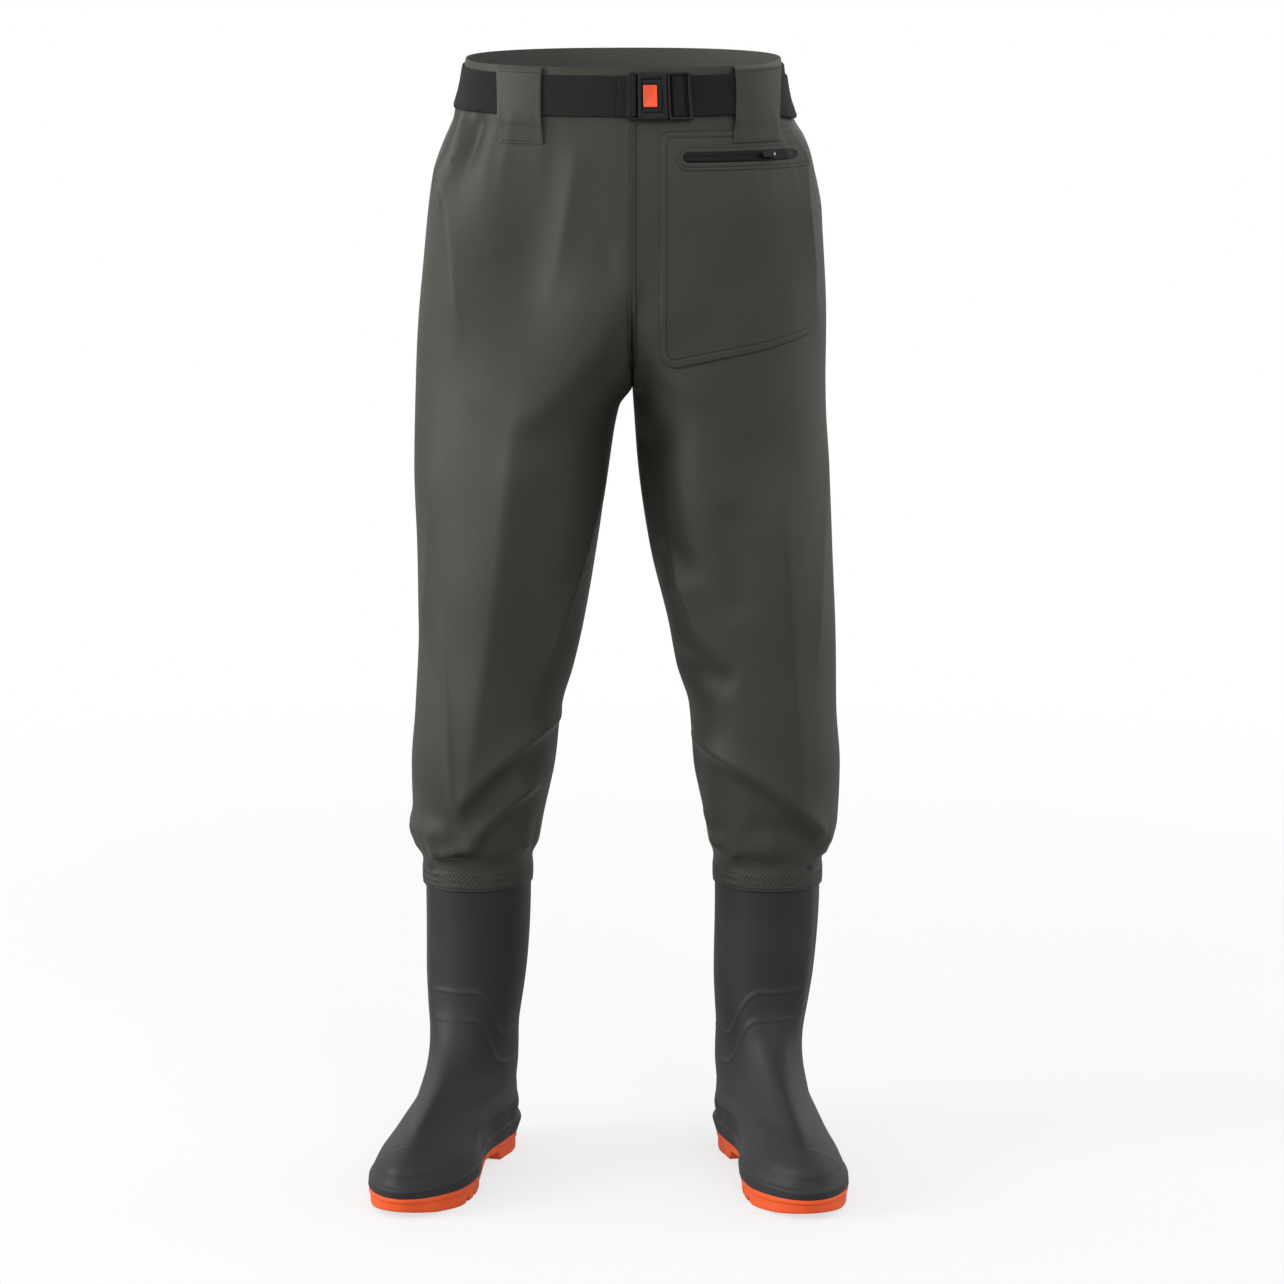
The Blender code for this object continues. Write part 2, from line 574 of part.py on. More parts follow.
def build_buckle(plastic, button_finish):
    """Socket half with its release button, and the tongue half with two webbing slots."""
    arm = BELT_WIDTH / 2 + GAP
    rails = [-BUCKLE_HALF_TALL, -arm, arm, BUCKLE_HALF_TALL]
    whole, open_cell = [True, True, True], [True, False, True]
    window_z = BUTTON_HALF_TALL + GAP
    window_x = [BUTTON_MIDDLE - BUTTON_HALF_WIDTH - GAP, BUTTON_MIDDLE + BUTTON_HALF_WIDTH + GAP]
    socket = bent_frame(
        "buckle_socket", [SOCKET_SLOT, *window_x, BUCKLE_SPLIT - GAP],
        [-BUCKLE_HALF_TALL, -window_z, window_z, BUCKLE_HALF_TALL],
        [whole, open_cell, whole], BAR_LOW, HOUSING_HIGH, plastic,
    )
    bar = bent_frame(
        "socket_bar_form", [-BUCKLE_HALF_WIDTH + GAP, SOCKET_BACK, SOCKET_ROOT], rails, [whole, open_cell],
        BAR_LOW + 1e-4, BAR_HIGH, plastic,
    )
    combine(socket, bar, "UNION")
    tongue = bent_frame(
        "buckle_tongue", [BUCKLE_SPLIT, TONGUE_NECK, TONGUE_RIM, BUCKLE_HALF_WIDTH], rails,
        [whole, open_cell, whole], BAR_HIGH - 2e-4, FRAME_HIGH, plastic,
    )
    middle_bar = bent_frame(
        "tongue_bar_form", TONGUE_BAR, [rails[0] + 5e-4, rails[3] - 5e-4], [[True]],
        BAR_LOW + 2e-4, BAR_HIGH, plastic,
    )
    ends = bent_frame(
        "tongue_ends_form", TONGUE_BAR_ENDS, rails, [open_cell], BAR_LOW + 1e-4, BAR_HIGH + 1e-3, plastic,
    )
    combine(tongue, middle_bar, "UNION")
    combine(tongue, ends, "UNION")
    bent_frame(
        "buckle_button", BUTTON_MIDDLE + BUTTON_HALF_WIDTH * np.array([-1, 0, 1]),
        BUTTON_HALF_TALL * np.array([-1, 0, 1]), [[True, True]] * 2, BAR_LOW, BUTTON_HIGH, button_finish,
    )


def build_pocket(finish):
    """Welded pocket panel on the wearer's left, its lower edge rising towards the side."""
    inner = lines_between(AROUND_LINES, -0.93, POCKET_SIDE_EDGE)
    share = (inner - inner[0]) / (inner[-1] - inner[0])
    bottom = POCKET_BOTTOM + POCKET_RISE * share
    lines = lines_between(HEIGHT_LINES, POCKET_BOTTOM, POCKET_TOP)[1:]
    rows = [bottom, np.maximum(bottom + 0.004, lines[0])]
    rows += [np.full(len(inner), height) for height in lines[1:]]
    heights = np.stack(rows)
    places = np.broadcast_to(inner, heights.shape).copy()
    corner = POCKET_CORNER * np.array([1, 0.25, 0, 0, 0, 0, 0.1, 1])
    places[:, 0] = around_at(LEFT, POCKET_INNER_EDGE + corner, heights[:, 0])
    places = np.maximum(places, places[:, :1] + POCKET_COLUMN * np.arange(len(inner)))
    grids = [on_cloth(LEFT, places, heights, lift) for lift in (PANEL_LAY, PANEL_LAY + POCKET_THICKNESS)]
    slab("pocket", grids[0], grids[1], finish)


def build_zip(tape_finish, metal, pull_finish):
    """Zip tape on the pocket, with its slider and pull tab in a frame of their own."""
    low = PANEL_LAY + POCKET_THICKNESS + GAP
    high = low + ZIP_THICKNESS
    places = lines_between(AROUND_LINES, *around_at(LEFT, np.array([ZIP_FROM, ZIP_TO]), ZIP_HEIGHT))[:, None]
    heights = ZIP_HEIGHT + ZIP_TALL / 2 * np.array([-1, 1])[None, :]
    slab("zip_tape", on_cloth(LEFT, places, heights, low), on_cloth(LEFT, places, heights, high), tape_finish)

    corners = []
    near = 0.002
    for aside, above in ((0, 0), (near, 0), (0, near)):
        height = ZIP_HEIGHT + above
        around = around_at(LEFT, SLIDER_AT + aside, height)
        corners.append(Vector(on_cloth(LEFT, around, height, high + GAP)))
    along = (corners[1] - corners[0]).normalized()
    off = along.cross(corners[2] - corners[0]).normalized()
    up = off.cross(along)
    frame = Matrix((along, up, off)).transposed().to_4x4()
    frame.translation = corners[0]
    hinge = frame @ Matrix.Translation((0, 0, SLIDER_HIGH + GAP + PULL_THICKNESS / 2))
    plate("zip_slider", frame, (-SLIDER_LONG / 2, SLIDER_LONG / 2), SLIDER_TALL, (0.0, SLIDER_HIGH), metal)
    plate("zip_pull", hinge, (-PULL_LONG, PULL_HEEL), PULL_TALL,
          (-PULL_THICKNESS / 2, PULL_THICKNESS / 2), pull_finish)


def plate(name, frame, along, tall, lifts, finish):
    """A flat plate with its origin in a given frame: along it, across it and off it."""
    corners = [(x, z, y) for y in lifts for z in (-tall / 2, tall / 2) for x in along]
    add_object(name, corners, BOX_FACES, finish).matrix_world = frame


def build_boot(side, rubber, sole_finish, lining):
    """One boot: moulded upper open at the collar and underneath, outsole and insole."""
    name = SIDE_NAMES[side]
    turns = np.arange(BOOT_ANGLES) * 2 * math.pi / BOOT_ANGLES
    angles = math.pi / 2 - BOOT_TURN[side] + turns
    rings = stand_boot(side, *boot_ring(angles[None, :], BOOT_LINES[:, None]))
    faces = grid_faces(len(BOOT_LINES), BOOT_ANGLES, closed=True)
    upper = add_object("boot_upper_" + name, rings.reshape(-1, 3), faces, rubber)
    thin_wall(upper, BOOT_WALL)
    build_outsole(side, name, sole_finish)
    build_insole(side, name, lining)


def sole_angles():
    """Angles round the sole, with a station at each change of the sole's profile."""
    stations = np.sort(np.concatenate([SOLE["station"][1:-1], SOLE_STATIONS]))[::-1]
    half = np.arccos(2 * stations / BOOT_LENGTH - 1)
    return np.concatenate([[0.0], half, [math.pi], 2 * math.pi - half[::-1]])


def foot_outline(angle, spread, inset):
    """Across and station on the foot's outline, drawn in by inset."""
    toe_share = (1 + np.cos(angle)) / 2
    station = inset + (BOOT_LENGTH - 2 * inset) * toe_share
    return (foot_half_width(angle, toe_share) * spread - inset) * np.sin(angle), station


def sole_top(station):
    """Height of the outsole's top, which dips between heel and toe as the upper's lower edge does."""
    share = np.clip(station / BOOT_LENGTH, 0, 1)
    return SOLE_HEEL_TOP + (SOLE_TOE_TOP - SOLE_HEEL_TOP) * share - FEATHER_DIP * 4 * share * (1 - share)


def ring_stack(name, rings, finish):
    """A closed solid through rings that share stations left and right, capped straight across."""
    rows, count = rings.shape[:2]
    faces = grid_faces(rows, count, closed=True)
    for start in (0, (rows - 1) * count):
        for i in range(count // 2):
            ring = [start + i, start + i + 1, start + (count - i - 1) % count, start + (count - i) % count]
            faces.append(list(dict.fromkeys(ring)))
    return add_object(name, rings.reshape(-1, 3), faces, finish)


def build_outsole(side, name, finish):
    """Outsole with heel, arch and toe spring, a stepped side and grooves cut across the tread."""
    rings = []
    for share, inset in zip(SOLE_SIDE["share"], SOLE_SIDE["inset"]):
        across, station = foot_outline(sole_angles(), 1.0, inset)
        bottom, top = np.interp(station, SOLE["station"], SOLE["bottom"]), sole_top(station)
        rings.append(stand_boot(side, across, station, bottom + share * (top - bottom)))
    made = ring_stack("outsole_" + name, np.stack(rings), finish)

    points, faces = [], []
    reach, below = 0.08, 0.004
    for middle in GROOVE_STATIONS:
        faces += [tuple(len(points) + v for v in face) for face in BOX_FACES]
        for height in (-below, GROOVE_DEEP):
            for across in (-reach, reach):
                for station in (middle - GROOVE_WIDE / 2, middle + GROOVE_WIDE / 2):
                    points.append(stand_boot(side, across, station, height))
    combine(made, add_object("grooves_" + name, points, faces, finish), "DIFFERENCE")


def build_insole(side, name, finish):
    """Flat insole that lies on the outsole inside the upper."""
    angles = sole_angles()
    across, station = foot_outline(angles, INSOLE_SPREAD, INSOLE_INSET)
    across = across + INSOLE_INSET * np.sin(angles)
    top = sole_top(station) + GAP
    rings = [stand_boot(side, across, station, top + lift) for lift in (0.0, INSOLE_THICKNESS)]
    ring_stack("insole_" + name, np.stack(rings), finish)


def main():
    for old in list(bpy.data.objects):
        bpy.data.objects.remove(old)
    coated_cloth = material("coated_cloth", (0.086, 0.090, 0.072), 0.55)
    webbing = material("webbing", (0.020, 0.020, 0.021), 0.75)
    plastic = material("buckle_plastic", (0.016, 0.016, 0.018), 0.40)
    orange_plastic = material("orange_plastic", (0.83, 0.10, 0.04), 0.45)
    rubber = material("boot_rubber", (0.042, 0.042, 0.046), 0.50)
    orange_rubber = material("sole_rubber", (0.70, 0.12, 0.04), 0.55)
    lining = material("insole_felt", (0.10, 0.10, 0.10), 0.90)
    zip_finish = material("zip_coating", (0.018, 0.018, 0.022), 0.35)
    metal = material("slider_metal", (0.25, 0.24, 0.23), 0.30, 1.0)

    build_trousers(coated_cloth)
    build_seam("front_seam", False, FRONT_SEAM_SPAN, coated_cloth)
    build_seam("back_seam", True, BACK_SEAM_SPAN, coated_cloth)
    build_belt(webbing)
    over_belt, over_tail = BELT_LIFT + WEBBING + GAP, BAR_LOW + FOLDED_WEBBING + GAP
    over_pocket = PANEL_LAY + POCKET_THICKNESS + GAP
    build_loop("belt_loop_front_right", RIGHT, LOOP_FRONT_FROM_SEAM[RIGHT], False,
               LAY, over_belt, coated_cloth)
    build_loop("belt_loop_front_left", LEFT, LOOP_FRONT_FROM_SEAM[LEFT], False,
               over_pocket, over_tail, coated_cloth)
    for side in (RIGHT, LEFT):
        build_loop("belt_loop_back_" + SIDE_NAMES[side], side, LOOP_BACK_FROM_SEAM, True,
                   LAY, over_belt, coated_cloth)
    build_buckle(plastic, orange_plastic)
    build_pocket(coated_cloth)
    build_zip(zip_finish, metal, plastic)
    for side in (RIGHT, LEFT):
        build_boot(side, rubber, orange_rubber, lining)


main()
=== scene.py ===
"""Looks of the waist wader: folded cloth, moulded boots, webbing, stitches and finishes around the solids.

Metres, +Z up, both soles on z = 0. The wearer faces -Y and the wearer's left is +X.
Each surface is a function of two parameters on a grid, or a profile carried along a path.
"""

import json
import math

import bmesh
import bpy
import numpy as np
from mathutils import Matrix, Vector


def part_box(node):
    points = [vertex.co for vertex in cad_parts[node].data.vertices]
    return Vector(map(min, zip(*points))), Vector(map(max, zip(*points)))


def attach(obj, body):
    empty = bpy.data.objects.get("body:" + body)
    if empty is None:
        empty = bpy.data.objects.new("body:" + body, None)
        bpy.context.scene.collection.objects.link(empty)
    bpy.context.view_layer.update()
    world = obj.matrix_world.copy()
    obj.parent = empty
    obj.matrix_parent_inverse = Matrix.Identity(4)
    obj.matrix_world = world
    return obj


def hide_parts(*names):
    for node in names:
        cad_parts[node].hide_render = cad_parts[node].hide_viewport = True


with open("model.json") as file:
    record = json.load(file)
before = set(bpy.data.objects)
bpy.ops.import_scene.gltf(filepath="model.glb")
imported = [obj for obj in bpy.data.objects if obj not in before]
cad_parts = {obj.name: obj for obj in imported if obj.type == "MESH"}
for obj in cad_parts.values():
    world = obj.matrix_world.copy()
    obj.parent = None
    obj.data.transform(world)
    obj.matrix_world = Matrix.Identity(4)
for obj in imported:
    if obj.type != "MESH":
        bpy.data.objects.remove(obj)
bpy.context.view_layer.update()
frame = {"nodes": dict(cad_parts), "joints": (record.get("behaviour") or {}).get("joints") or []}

# Sides of the wearer, and the faces of the cloth that a fold lies on
RIGHT, LEFT = -1, 1
SIDE_NAMES = {RIGHT: "right", LEFT: "left"}
FRONT, BACK, BOTH = -1, 1, 0

# Stance and cloth
SEAM_X, PLUMB_Y = 0.02265, 0.0280
GAP = 0.0003
CLOTH_WALL = 0.0012
CROTCH_HEIGHT = 0.772
HEM_HEIGHT, HEM_WELD_TOP, HEM_BLOUSE = 0.280, 0.301, 0.020
WAIST_HEIGHT, WAIST_LEAN, LEAN_FROM = 1.082, 0.055, 0.94
FRONT_RISE, BACK_RISE, THIGH_BLEND = 0.125, 0.190, 0.20
SOFT_SHIFTS = (-0.034, -0.024, -0.014, -0.005, 0.005, 0.014, 0.024, 0.034)
SOFT_REACH, SOFT_AROUND = (0.04, 0.09), (0.80, 0.96)
BODY_SQUARENESS, LEG_SQUARENESS = 2.35, 2.15
LEG_ROWS, LEG_COLUMNS, ROW_SAMPLES = 223, 161, 400
SUNK = 0.0004

# Forms of a fold: where it may face and end, how round its crease is, and the fall of a lip's two sides
FOLD_FACING, FOLD_START, FOLD_END = (-0.10, 0.30), -0.08, 1.10
CREASE_FALL, CREASE_ROUND = 2.2, 0.07
LIP_ABOVE, LIP_DROP, LIP_HOLLOW, LIP_BACK = 1.5, 0.9, 0.6, 3.0
# Folds end at the hem and under the belt, and lie flat on the seams and beside the crotch
FOLDS_RISE, FOLDS_END = (HEM_WELD_TOP, HEM_WELD_TOP + 0.015), (1.026, 1.042)
SEAM_FLAT, CALM_BESIDE, CALM_BELOW = 0.06, 0.034, 0.05
# Small waves of the cloth: size, then waves round it and up it, and phases by side and for all
GATHERS = ((1.0, 31, 0, 0.9, 0.0), (0.7, 53, 0, 0.0, 2.1), (0.5, 83, 0, 0.0, 0.0))
PLEATS = ((1.0, 37, 0, 1.3, 0.0), (0.8, 61, 0, 0.0, 0.4))
UNEVEN = ((1.0, 9, 14, 1.0, 0.0), (0.8, 15, -23, 0.0, 2.0), (0.6, 6, 39, 0.0, 0.0))
GATHER_HIGH, GATHER_RISE, GATHER_END = 0.0011, (0.93, 1.02), (1.033, 1.045)
PLEAT_HIGH, PLEAT_RISE, PLEAT_END = 0.0004, (0.303, 0.322), (0.325, 0.375)
UNEVEN_HIGH, UNEVEN_RISE, UNEVEN_END = 0.0007, (0.32, 0.40), (0.98, 1.04)

# Strips welded on the seams and round the hems
STRIP_HALF, STRIP_THICK, STRIP_LAY, KNURL_PITCH = 0.0041, 0.0008, 0.0003, 0.0040
STRIP_GROUND, STRIP_RAISED, STRIP_START = 0.55, 0.50, 0.006
FRONT_STRIP, BACK_STRIP = (0.800, 1.032), (0.860, 1.034)
BAND_LAY, BAND_THICK = 0.0001, 0.0002
CHEVRON_BANDS, CHEVRONS, CHEVRON_SLANT, CHEVRON_HIGH = 3.0, 36, 1.1, 0.0005
BEAD_RADIUS, BEAD_SUNK, BEAD_DROP = 0.0013, 0.0008, 0.0002

# Belt, loops, buckle, pocket and zip. Lifts are heights above the outside of the cloth.
BELT_HEIGHT, BELT_WIDTH, BELT_LEAN = 1.0555, 0.038, 0.065
BELT_LIFT, WEBBING, FOLDED_WEBBING = 0.0004, 0.0018, 0.0016
BAR_LOW, BAR_HIGH, WRAP_LIFT = 0.0025, 0.0047, 0.0050
FRAME_HIGH, HOUSING_HIGH, BUTTON_HIGH = 0.0075, 0.0086, 0.0100
LOOP_HALF_WIDTH, LOOP_THICKNESS = 0.0213, 0.0012
LOOP_LAY, LOOP_WAISTED, LOOP_RIDGE = 0.0004, 0.045, (0.0004, 0.0012, 0.0010)
WEAVE_START, LOOP_WEAVE_START, FLAT_POINTS = 0.02, 0.03, 19
LOOP_FRONT_FROM_SEAM = {RIGHT: 0.1040, LEFT: 0.1150}
LOOP_BACK_FROM_SEAM = 0.0950
BUCKLE_FROM_SEAM, BUCKLE_HALF_WIDTH, BUCKLE_HALF_TALL = 0.0260, 0.0285, 0.02225
POCKET_INNER_EDGE, POCKET_SIDE_EDGE = 0.0262, -0.215
POCKET_BOTTOM, POCKET_RISE, POCKET_TOP = 0.8015, 0.0275, 1.0235
POCKET_LOW_CORNER, POCKET_TOP_CORNER = 0.016, 0.010
POCKET_LAY, POCKET_THICKNESS, POCKET_WELD = 0.0006, 0.0008, 0.0065
ZIP_HEIGHT, ZIP_TALL, ZIP_FROM, ZIP_TO = 0.9990, 0.0100, 0.0474, 0.1540
ZIP_THICK, ZIP_GROOVE, SLIDER_TOP = 0.0007, 0.0002, -0.0010
PATCH_INNER_EDGE, PATCH_BOTTOM, PATCH_TOP = 0.0410, 0.9865, 1.0105
PATCH_WELD, PATCH_TO_ZIP, PATCH_HIGH, ZIP_SUNK = 0.0030, 0.0065, 0.0004, 0.0003
# The pressed line of a weld, and the swell inside it: height, middle and width
WELD_DEEP, WELD_WIDE, WELD_SWELL = 0.00045, 0.0007, (0.0002, -0.0018, 0.0009)
STITCH, STITCH_GAP, STITCH_RADIUS = 0.0026, 0.0012, 0.00048
BELT_STITCHES, BELT_STITCH_REACH = (-0.0385, -0.0362), 0.016
LOOP_STITCHES, LOOP_STITCH_REACH = (0.0060, 0.0684), 0.93

# Boots
BOOT_LENGTH, BOOT_WALL = 0.300, 0.0025
BOOT_TURN = {RIGHT: math.radians(16.0), LEFT: math.radians(11.5)}
BOOT_FROM_SEAM = {RIGHT: 0.1573, LEFT: 0.1250}
BOOT_Y, SHAFT_STATION = 0.030, 0.060
SHAFT_LEAN = {RIGHT: 0.004, LEFT: 0.009}
LEAN_LOW, LEAN_HIGH = 0.09, 0.27
SOLE_HEEL_TOP, SOLE_TOE_TOP, FEATHER_DIP = 0.0213, 0.0195, 0.0022
GROOVE_WIDE, GROOVE_DEEP, GROOVE_EDGE = 0.0060, 0.0050, 0.0004
GROOVE_STATIONS = (0.026, 0.050, 0.168, 0.188, 0.208, 0.228)
# S-shaped ribs: heights at the shin and at the inner ankle, and the degrees between which they cross over
RIBS = ((0.178, 0.131, 18, 78), (0.151, 0.102, 20, 96))
RIB_HIGH, RIB_WIDE, RIB_STEP, SHIN_RADIUS = 0.0009, 0.0017, 0.0005, 0.045
RIBS_START, RIBS_STOP = (-125, -95), (10, 48)
CAP_STATION, CAP_BOW, CAP_HALF, CAP_EDGE = 0.2660, 0.0110, 0.04, 0.0012
CAP_STEP, CAP_LIP, CAP_LIP_WIDE, CAP_RISE = 0.0008, 0.0006, 0.0016, (0.036, 0.042)
# Bells of the relief: height, middle and width. The groove lies at a level, the shaft's edge at an angle.
BEAD_GROOVE, SHAFT_EDGE, SHAFT_HOLLOW = (0.0006, 2.75, 0.22), (0.0022, 38, 13), (-0.0016, 62, 14)
SHAFT_EDGE_RISE = (0.115, 0.17)
BOOT_LEVELS, BOOT_ANGLES = 271, 280

# Camera, from the photograph's view, floor and light
CAMERA_PLACE = (0.03215, PLUMB_Y - 4.0, 1.2)
CAMERA_DOWN = math.radians(9.61)
SENSOR, IMAGE_PIXELS, FOCAL_PIXELS = 36.0, 1284, 4153
FLOOR_REACH, FLOOR_SHOWS, SKY_LOW, SKY_HIGH = 3.0, 0.32, 0.38, 1.20
LIT_PLACE, SKY_BAND = (0, 0, 0.55), 0.25


def table(names, *rows):
    """A table with named columns. The first column is what the others are read along."""
    return dict(zip(names.split(), np.array(rows, float).T))


# Half widths are measured from the centre seam, front and back from the plumb line.
TROUSERS = table(
    "height right_outer left_outer front back",
    (0.300, 0.2105, 0.1905, -0.034, 0.094),
    (0.318, 0.2150, 0.1950, -0.041, 0.099),
    (0.345, 0.2165, 0.2022, -0.049, 0.102),
    (0.400, 0.2182, 0.2042, -0.060, 0.104),
    (0.460, 0.2135, 0.1995, -0.072, 0.103),
    (0.540, 0.2075, 0.1963, -0.083, 0.106),
    (0.618, 0.2090, 0.1948, -0.092, 0.113),
    (0.697, 0.2112, 0.1915, -0.102, 0.125),
    (0.772, 0.2105, 0.1882, -0.110, 0.141),
    (0.810, 0.2085, 0.1870, -0.114, 0.149),
    (0.870, 0.2040, 0.1855, -0.117, 0.153),
    (0.940, 0.1980, 0.1838, -0.117, 0.148),
    (0.990, 0.1885, 0.1716, -0.115, 0.138),
    (1.030, 0.1725, 0.1524, -0.112, 0.129),
    (1.055, 0.1640, 0.1460, -0.110, 0.125),
    (1.082, 0.1590, 0.1422, -0.108, 0.122),
)
INSEAM = table(
    "height right_inner left_inner",
    (0.300, 0.0985, 0.0820),
    (0.318, 0.0930, 0.0760),
    (0.345, 0.0880, 0.0715),
    (0.400, 0.0765, 0.0606),
    (0.460, 0.0690, 0.0555),
    (0.500, 0.0575, 0.0432),
    (0.540, 0.0478, 0.0358),
    (0.618, 0.0343, 0.0170),
    (0.697, 0.0225, 0.0055),
    (0.755, 0.0120, 0.0012),
    (0.772, 0.0000, 0.0000),
)
# Outline of the foot: half widths over the half chord of an ellipse, from heel (0) to toe (1).
FOOT = table(
    "share lateral medial",
    (0.00, 0.0540, 0.0540),
    (0.13, 0.0540, 0.0540),
    (0.25, 0.0440, 0.0430),
    (0.40, 0.0395, 0.0340),
    (0.50, 0.0420, 0.0365),
    (0.65, 0.0520, 0.0500),
    (0.75, 0.0580, 0.0570),
    (0.85, 0.0620, 0.0620),
    (1.00, 0.0640, 0.0620),
)
# Rings of the boot from the feather edge to the collar. Stations run from the heel to the toe.
BOOT = table(
    "level back heel_height front toe_height dip half taper foot spread",
    (0, 0.0005, 0.0216, 0.2985, 0.0198, FEATHER_DIP, 0.050, 0.00, 1.00, 1.020),
    (1, -0.0045, 0.0345, 0.2990, 0.0262, FEATHER_DIP, 0.050, 0.06, 1.00, 1.050),
    (2, -0.0030, 0.0375, 0.2975, 0.0280, FEATHER_DIP, 0.050, 0.06, 1.00, 1.040),
    (3, 0.0030, 0.0400, 0.2950, 0.0310, 0.0020, 0.050, 0.06, 1.00, 1.000),
    (4, 0.0040, 0.0500, 0.2890, 0.0450, 0.0015, 0.050, 0.19, 1.00, 0.950),
    (5, 0.0060, 0.0640, 0.2690, 0.0590, 0.0005, 0.0440, 0.32, 0.20, 0.880),
    (6, 0.0090, 0.0790, 0.2350, 0.0715, 0.0000, 0.0380, 0.56, 0.00, 0.880),
    (7, 0.0115, 0.0950, 0.1950, 0.0870, 0.0000, 0.0380, 0.57, 0.00, 0.880),
    (8, 0.0125, 0.1130, 0.1580, 0.1080, 0.0000, 0.0395, 0.42, 0.00, 0.880),
    (9, 0.0120, 0.1330, 0.1330, 0.1340, 0.0000, 0.0422, 0.18, 0.00, 0.880),
    (10, 0.0100, 0.1560, 0.1225, 0.1600, 0.0000, 0.0462, 0.04, 0.00, 0.880),
    (11, 0.0065, 0.1880, 0.1185, 0.1910, 0.0000, 0.0495, 0.00, 0.00, 0.880),
    (12, 0.0030, 0.2260, 0.1180, 0.2270, 0.0000, 0.0510, 0.00, 0.00, 0.880),
    (13, 0.0010, 0.2700, 0.1190, 0.2700, 0.0000, 0.0518, 0.00, 0.00, 0.880),
    (14, 0.0000, 0.3100, 0.1200, 0.3100, 0.0000, 0.0520, 0.00, 0.00, 0.880),
)
SOLE = table(
    "station bottom",
    (0.000, 0.0020),
    (0.008, 0.0000),
    (0.087, 0.0000),
    (0.092, 0.0095),
    (0.128, 0.0100),
    (0.152, 0.0000),
    (0.242, 0.0000),
    (0.275, 0.0026),
    (0.300, 0.0070),
)
# Side of the outsole: height as a share of its thickness, and how far it stands in from the outline.
SOLE_SIDE = table(
    "share inset",
    (0.00, 0.0034),
    (0.03, 0.0024),
    (0.12, 0.0018),
    (0.40, 0.0015),
    (0.65, 0.0014),
    (0.68, 0.0011),
    (0.72, 0.0003),
    (0.76, 0.0001),
    (0.96, 0.0002),
    (1.00, 0.0007),
)
SOLE_SIDE_STEPS = ((0.0, 0.12, 5), (0.12, 0.64, 7), (0.64, 0.78, 8), (0.78, 1.0, 6))
# Belt tail and sewn end: distance from the buckle's middle and lift over the buckle's bars.
TAIL_WRAP = table(
    "along lift",
    (0.0102, BAR_LOW),
    (0.0120, WRAP_LIFT),
    (0.0212, WRAP_LIFT),
    (0.0232, BAR_LOW),
    (0.0300, BAR_LOW),
)
END_WRAP = table(
    "along lift",
    (-0.0400, BAR_LOW),
    (-0.0305, BAR_LOW),
    (-0.0290, WRAP_LIFT),
    (-0.0228, WRAP_LIFT),
    (-0.0210, BAR_LOW),
)
BELT_ENDS = (-0.0215, 0.0098)
# The tail ends past the side of the waist, by this turn, and sags towards it
TAIL_END, TAIL_DROP, TAIL_SAG = 0.14, 0.011, (-0.50, -0.05)
# Belt loop from the waist edge down: height, and share of its standing off over the webbing.
LOOP = table(
    "drop stand",
    (0.0005, 0.00),
    (0.0045, 1.00),
    (0.0270, 1.08),
    (0.0460, 1.00),
    (0.0500, 1.00),
    (0.0580, 0.55),
    (0.0670, 0.08),
    (0.0705, 0.00),
)
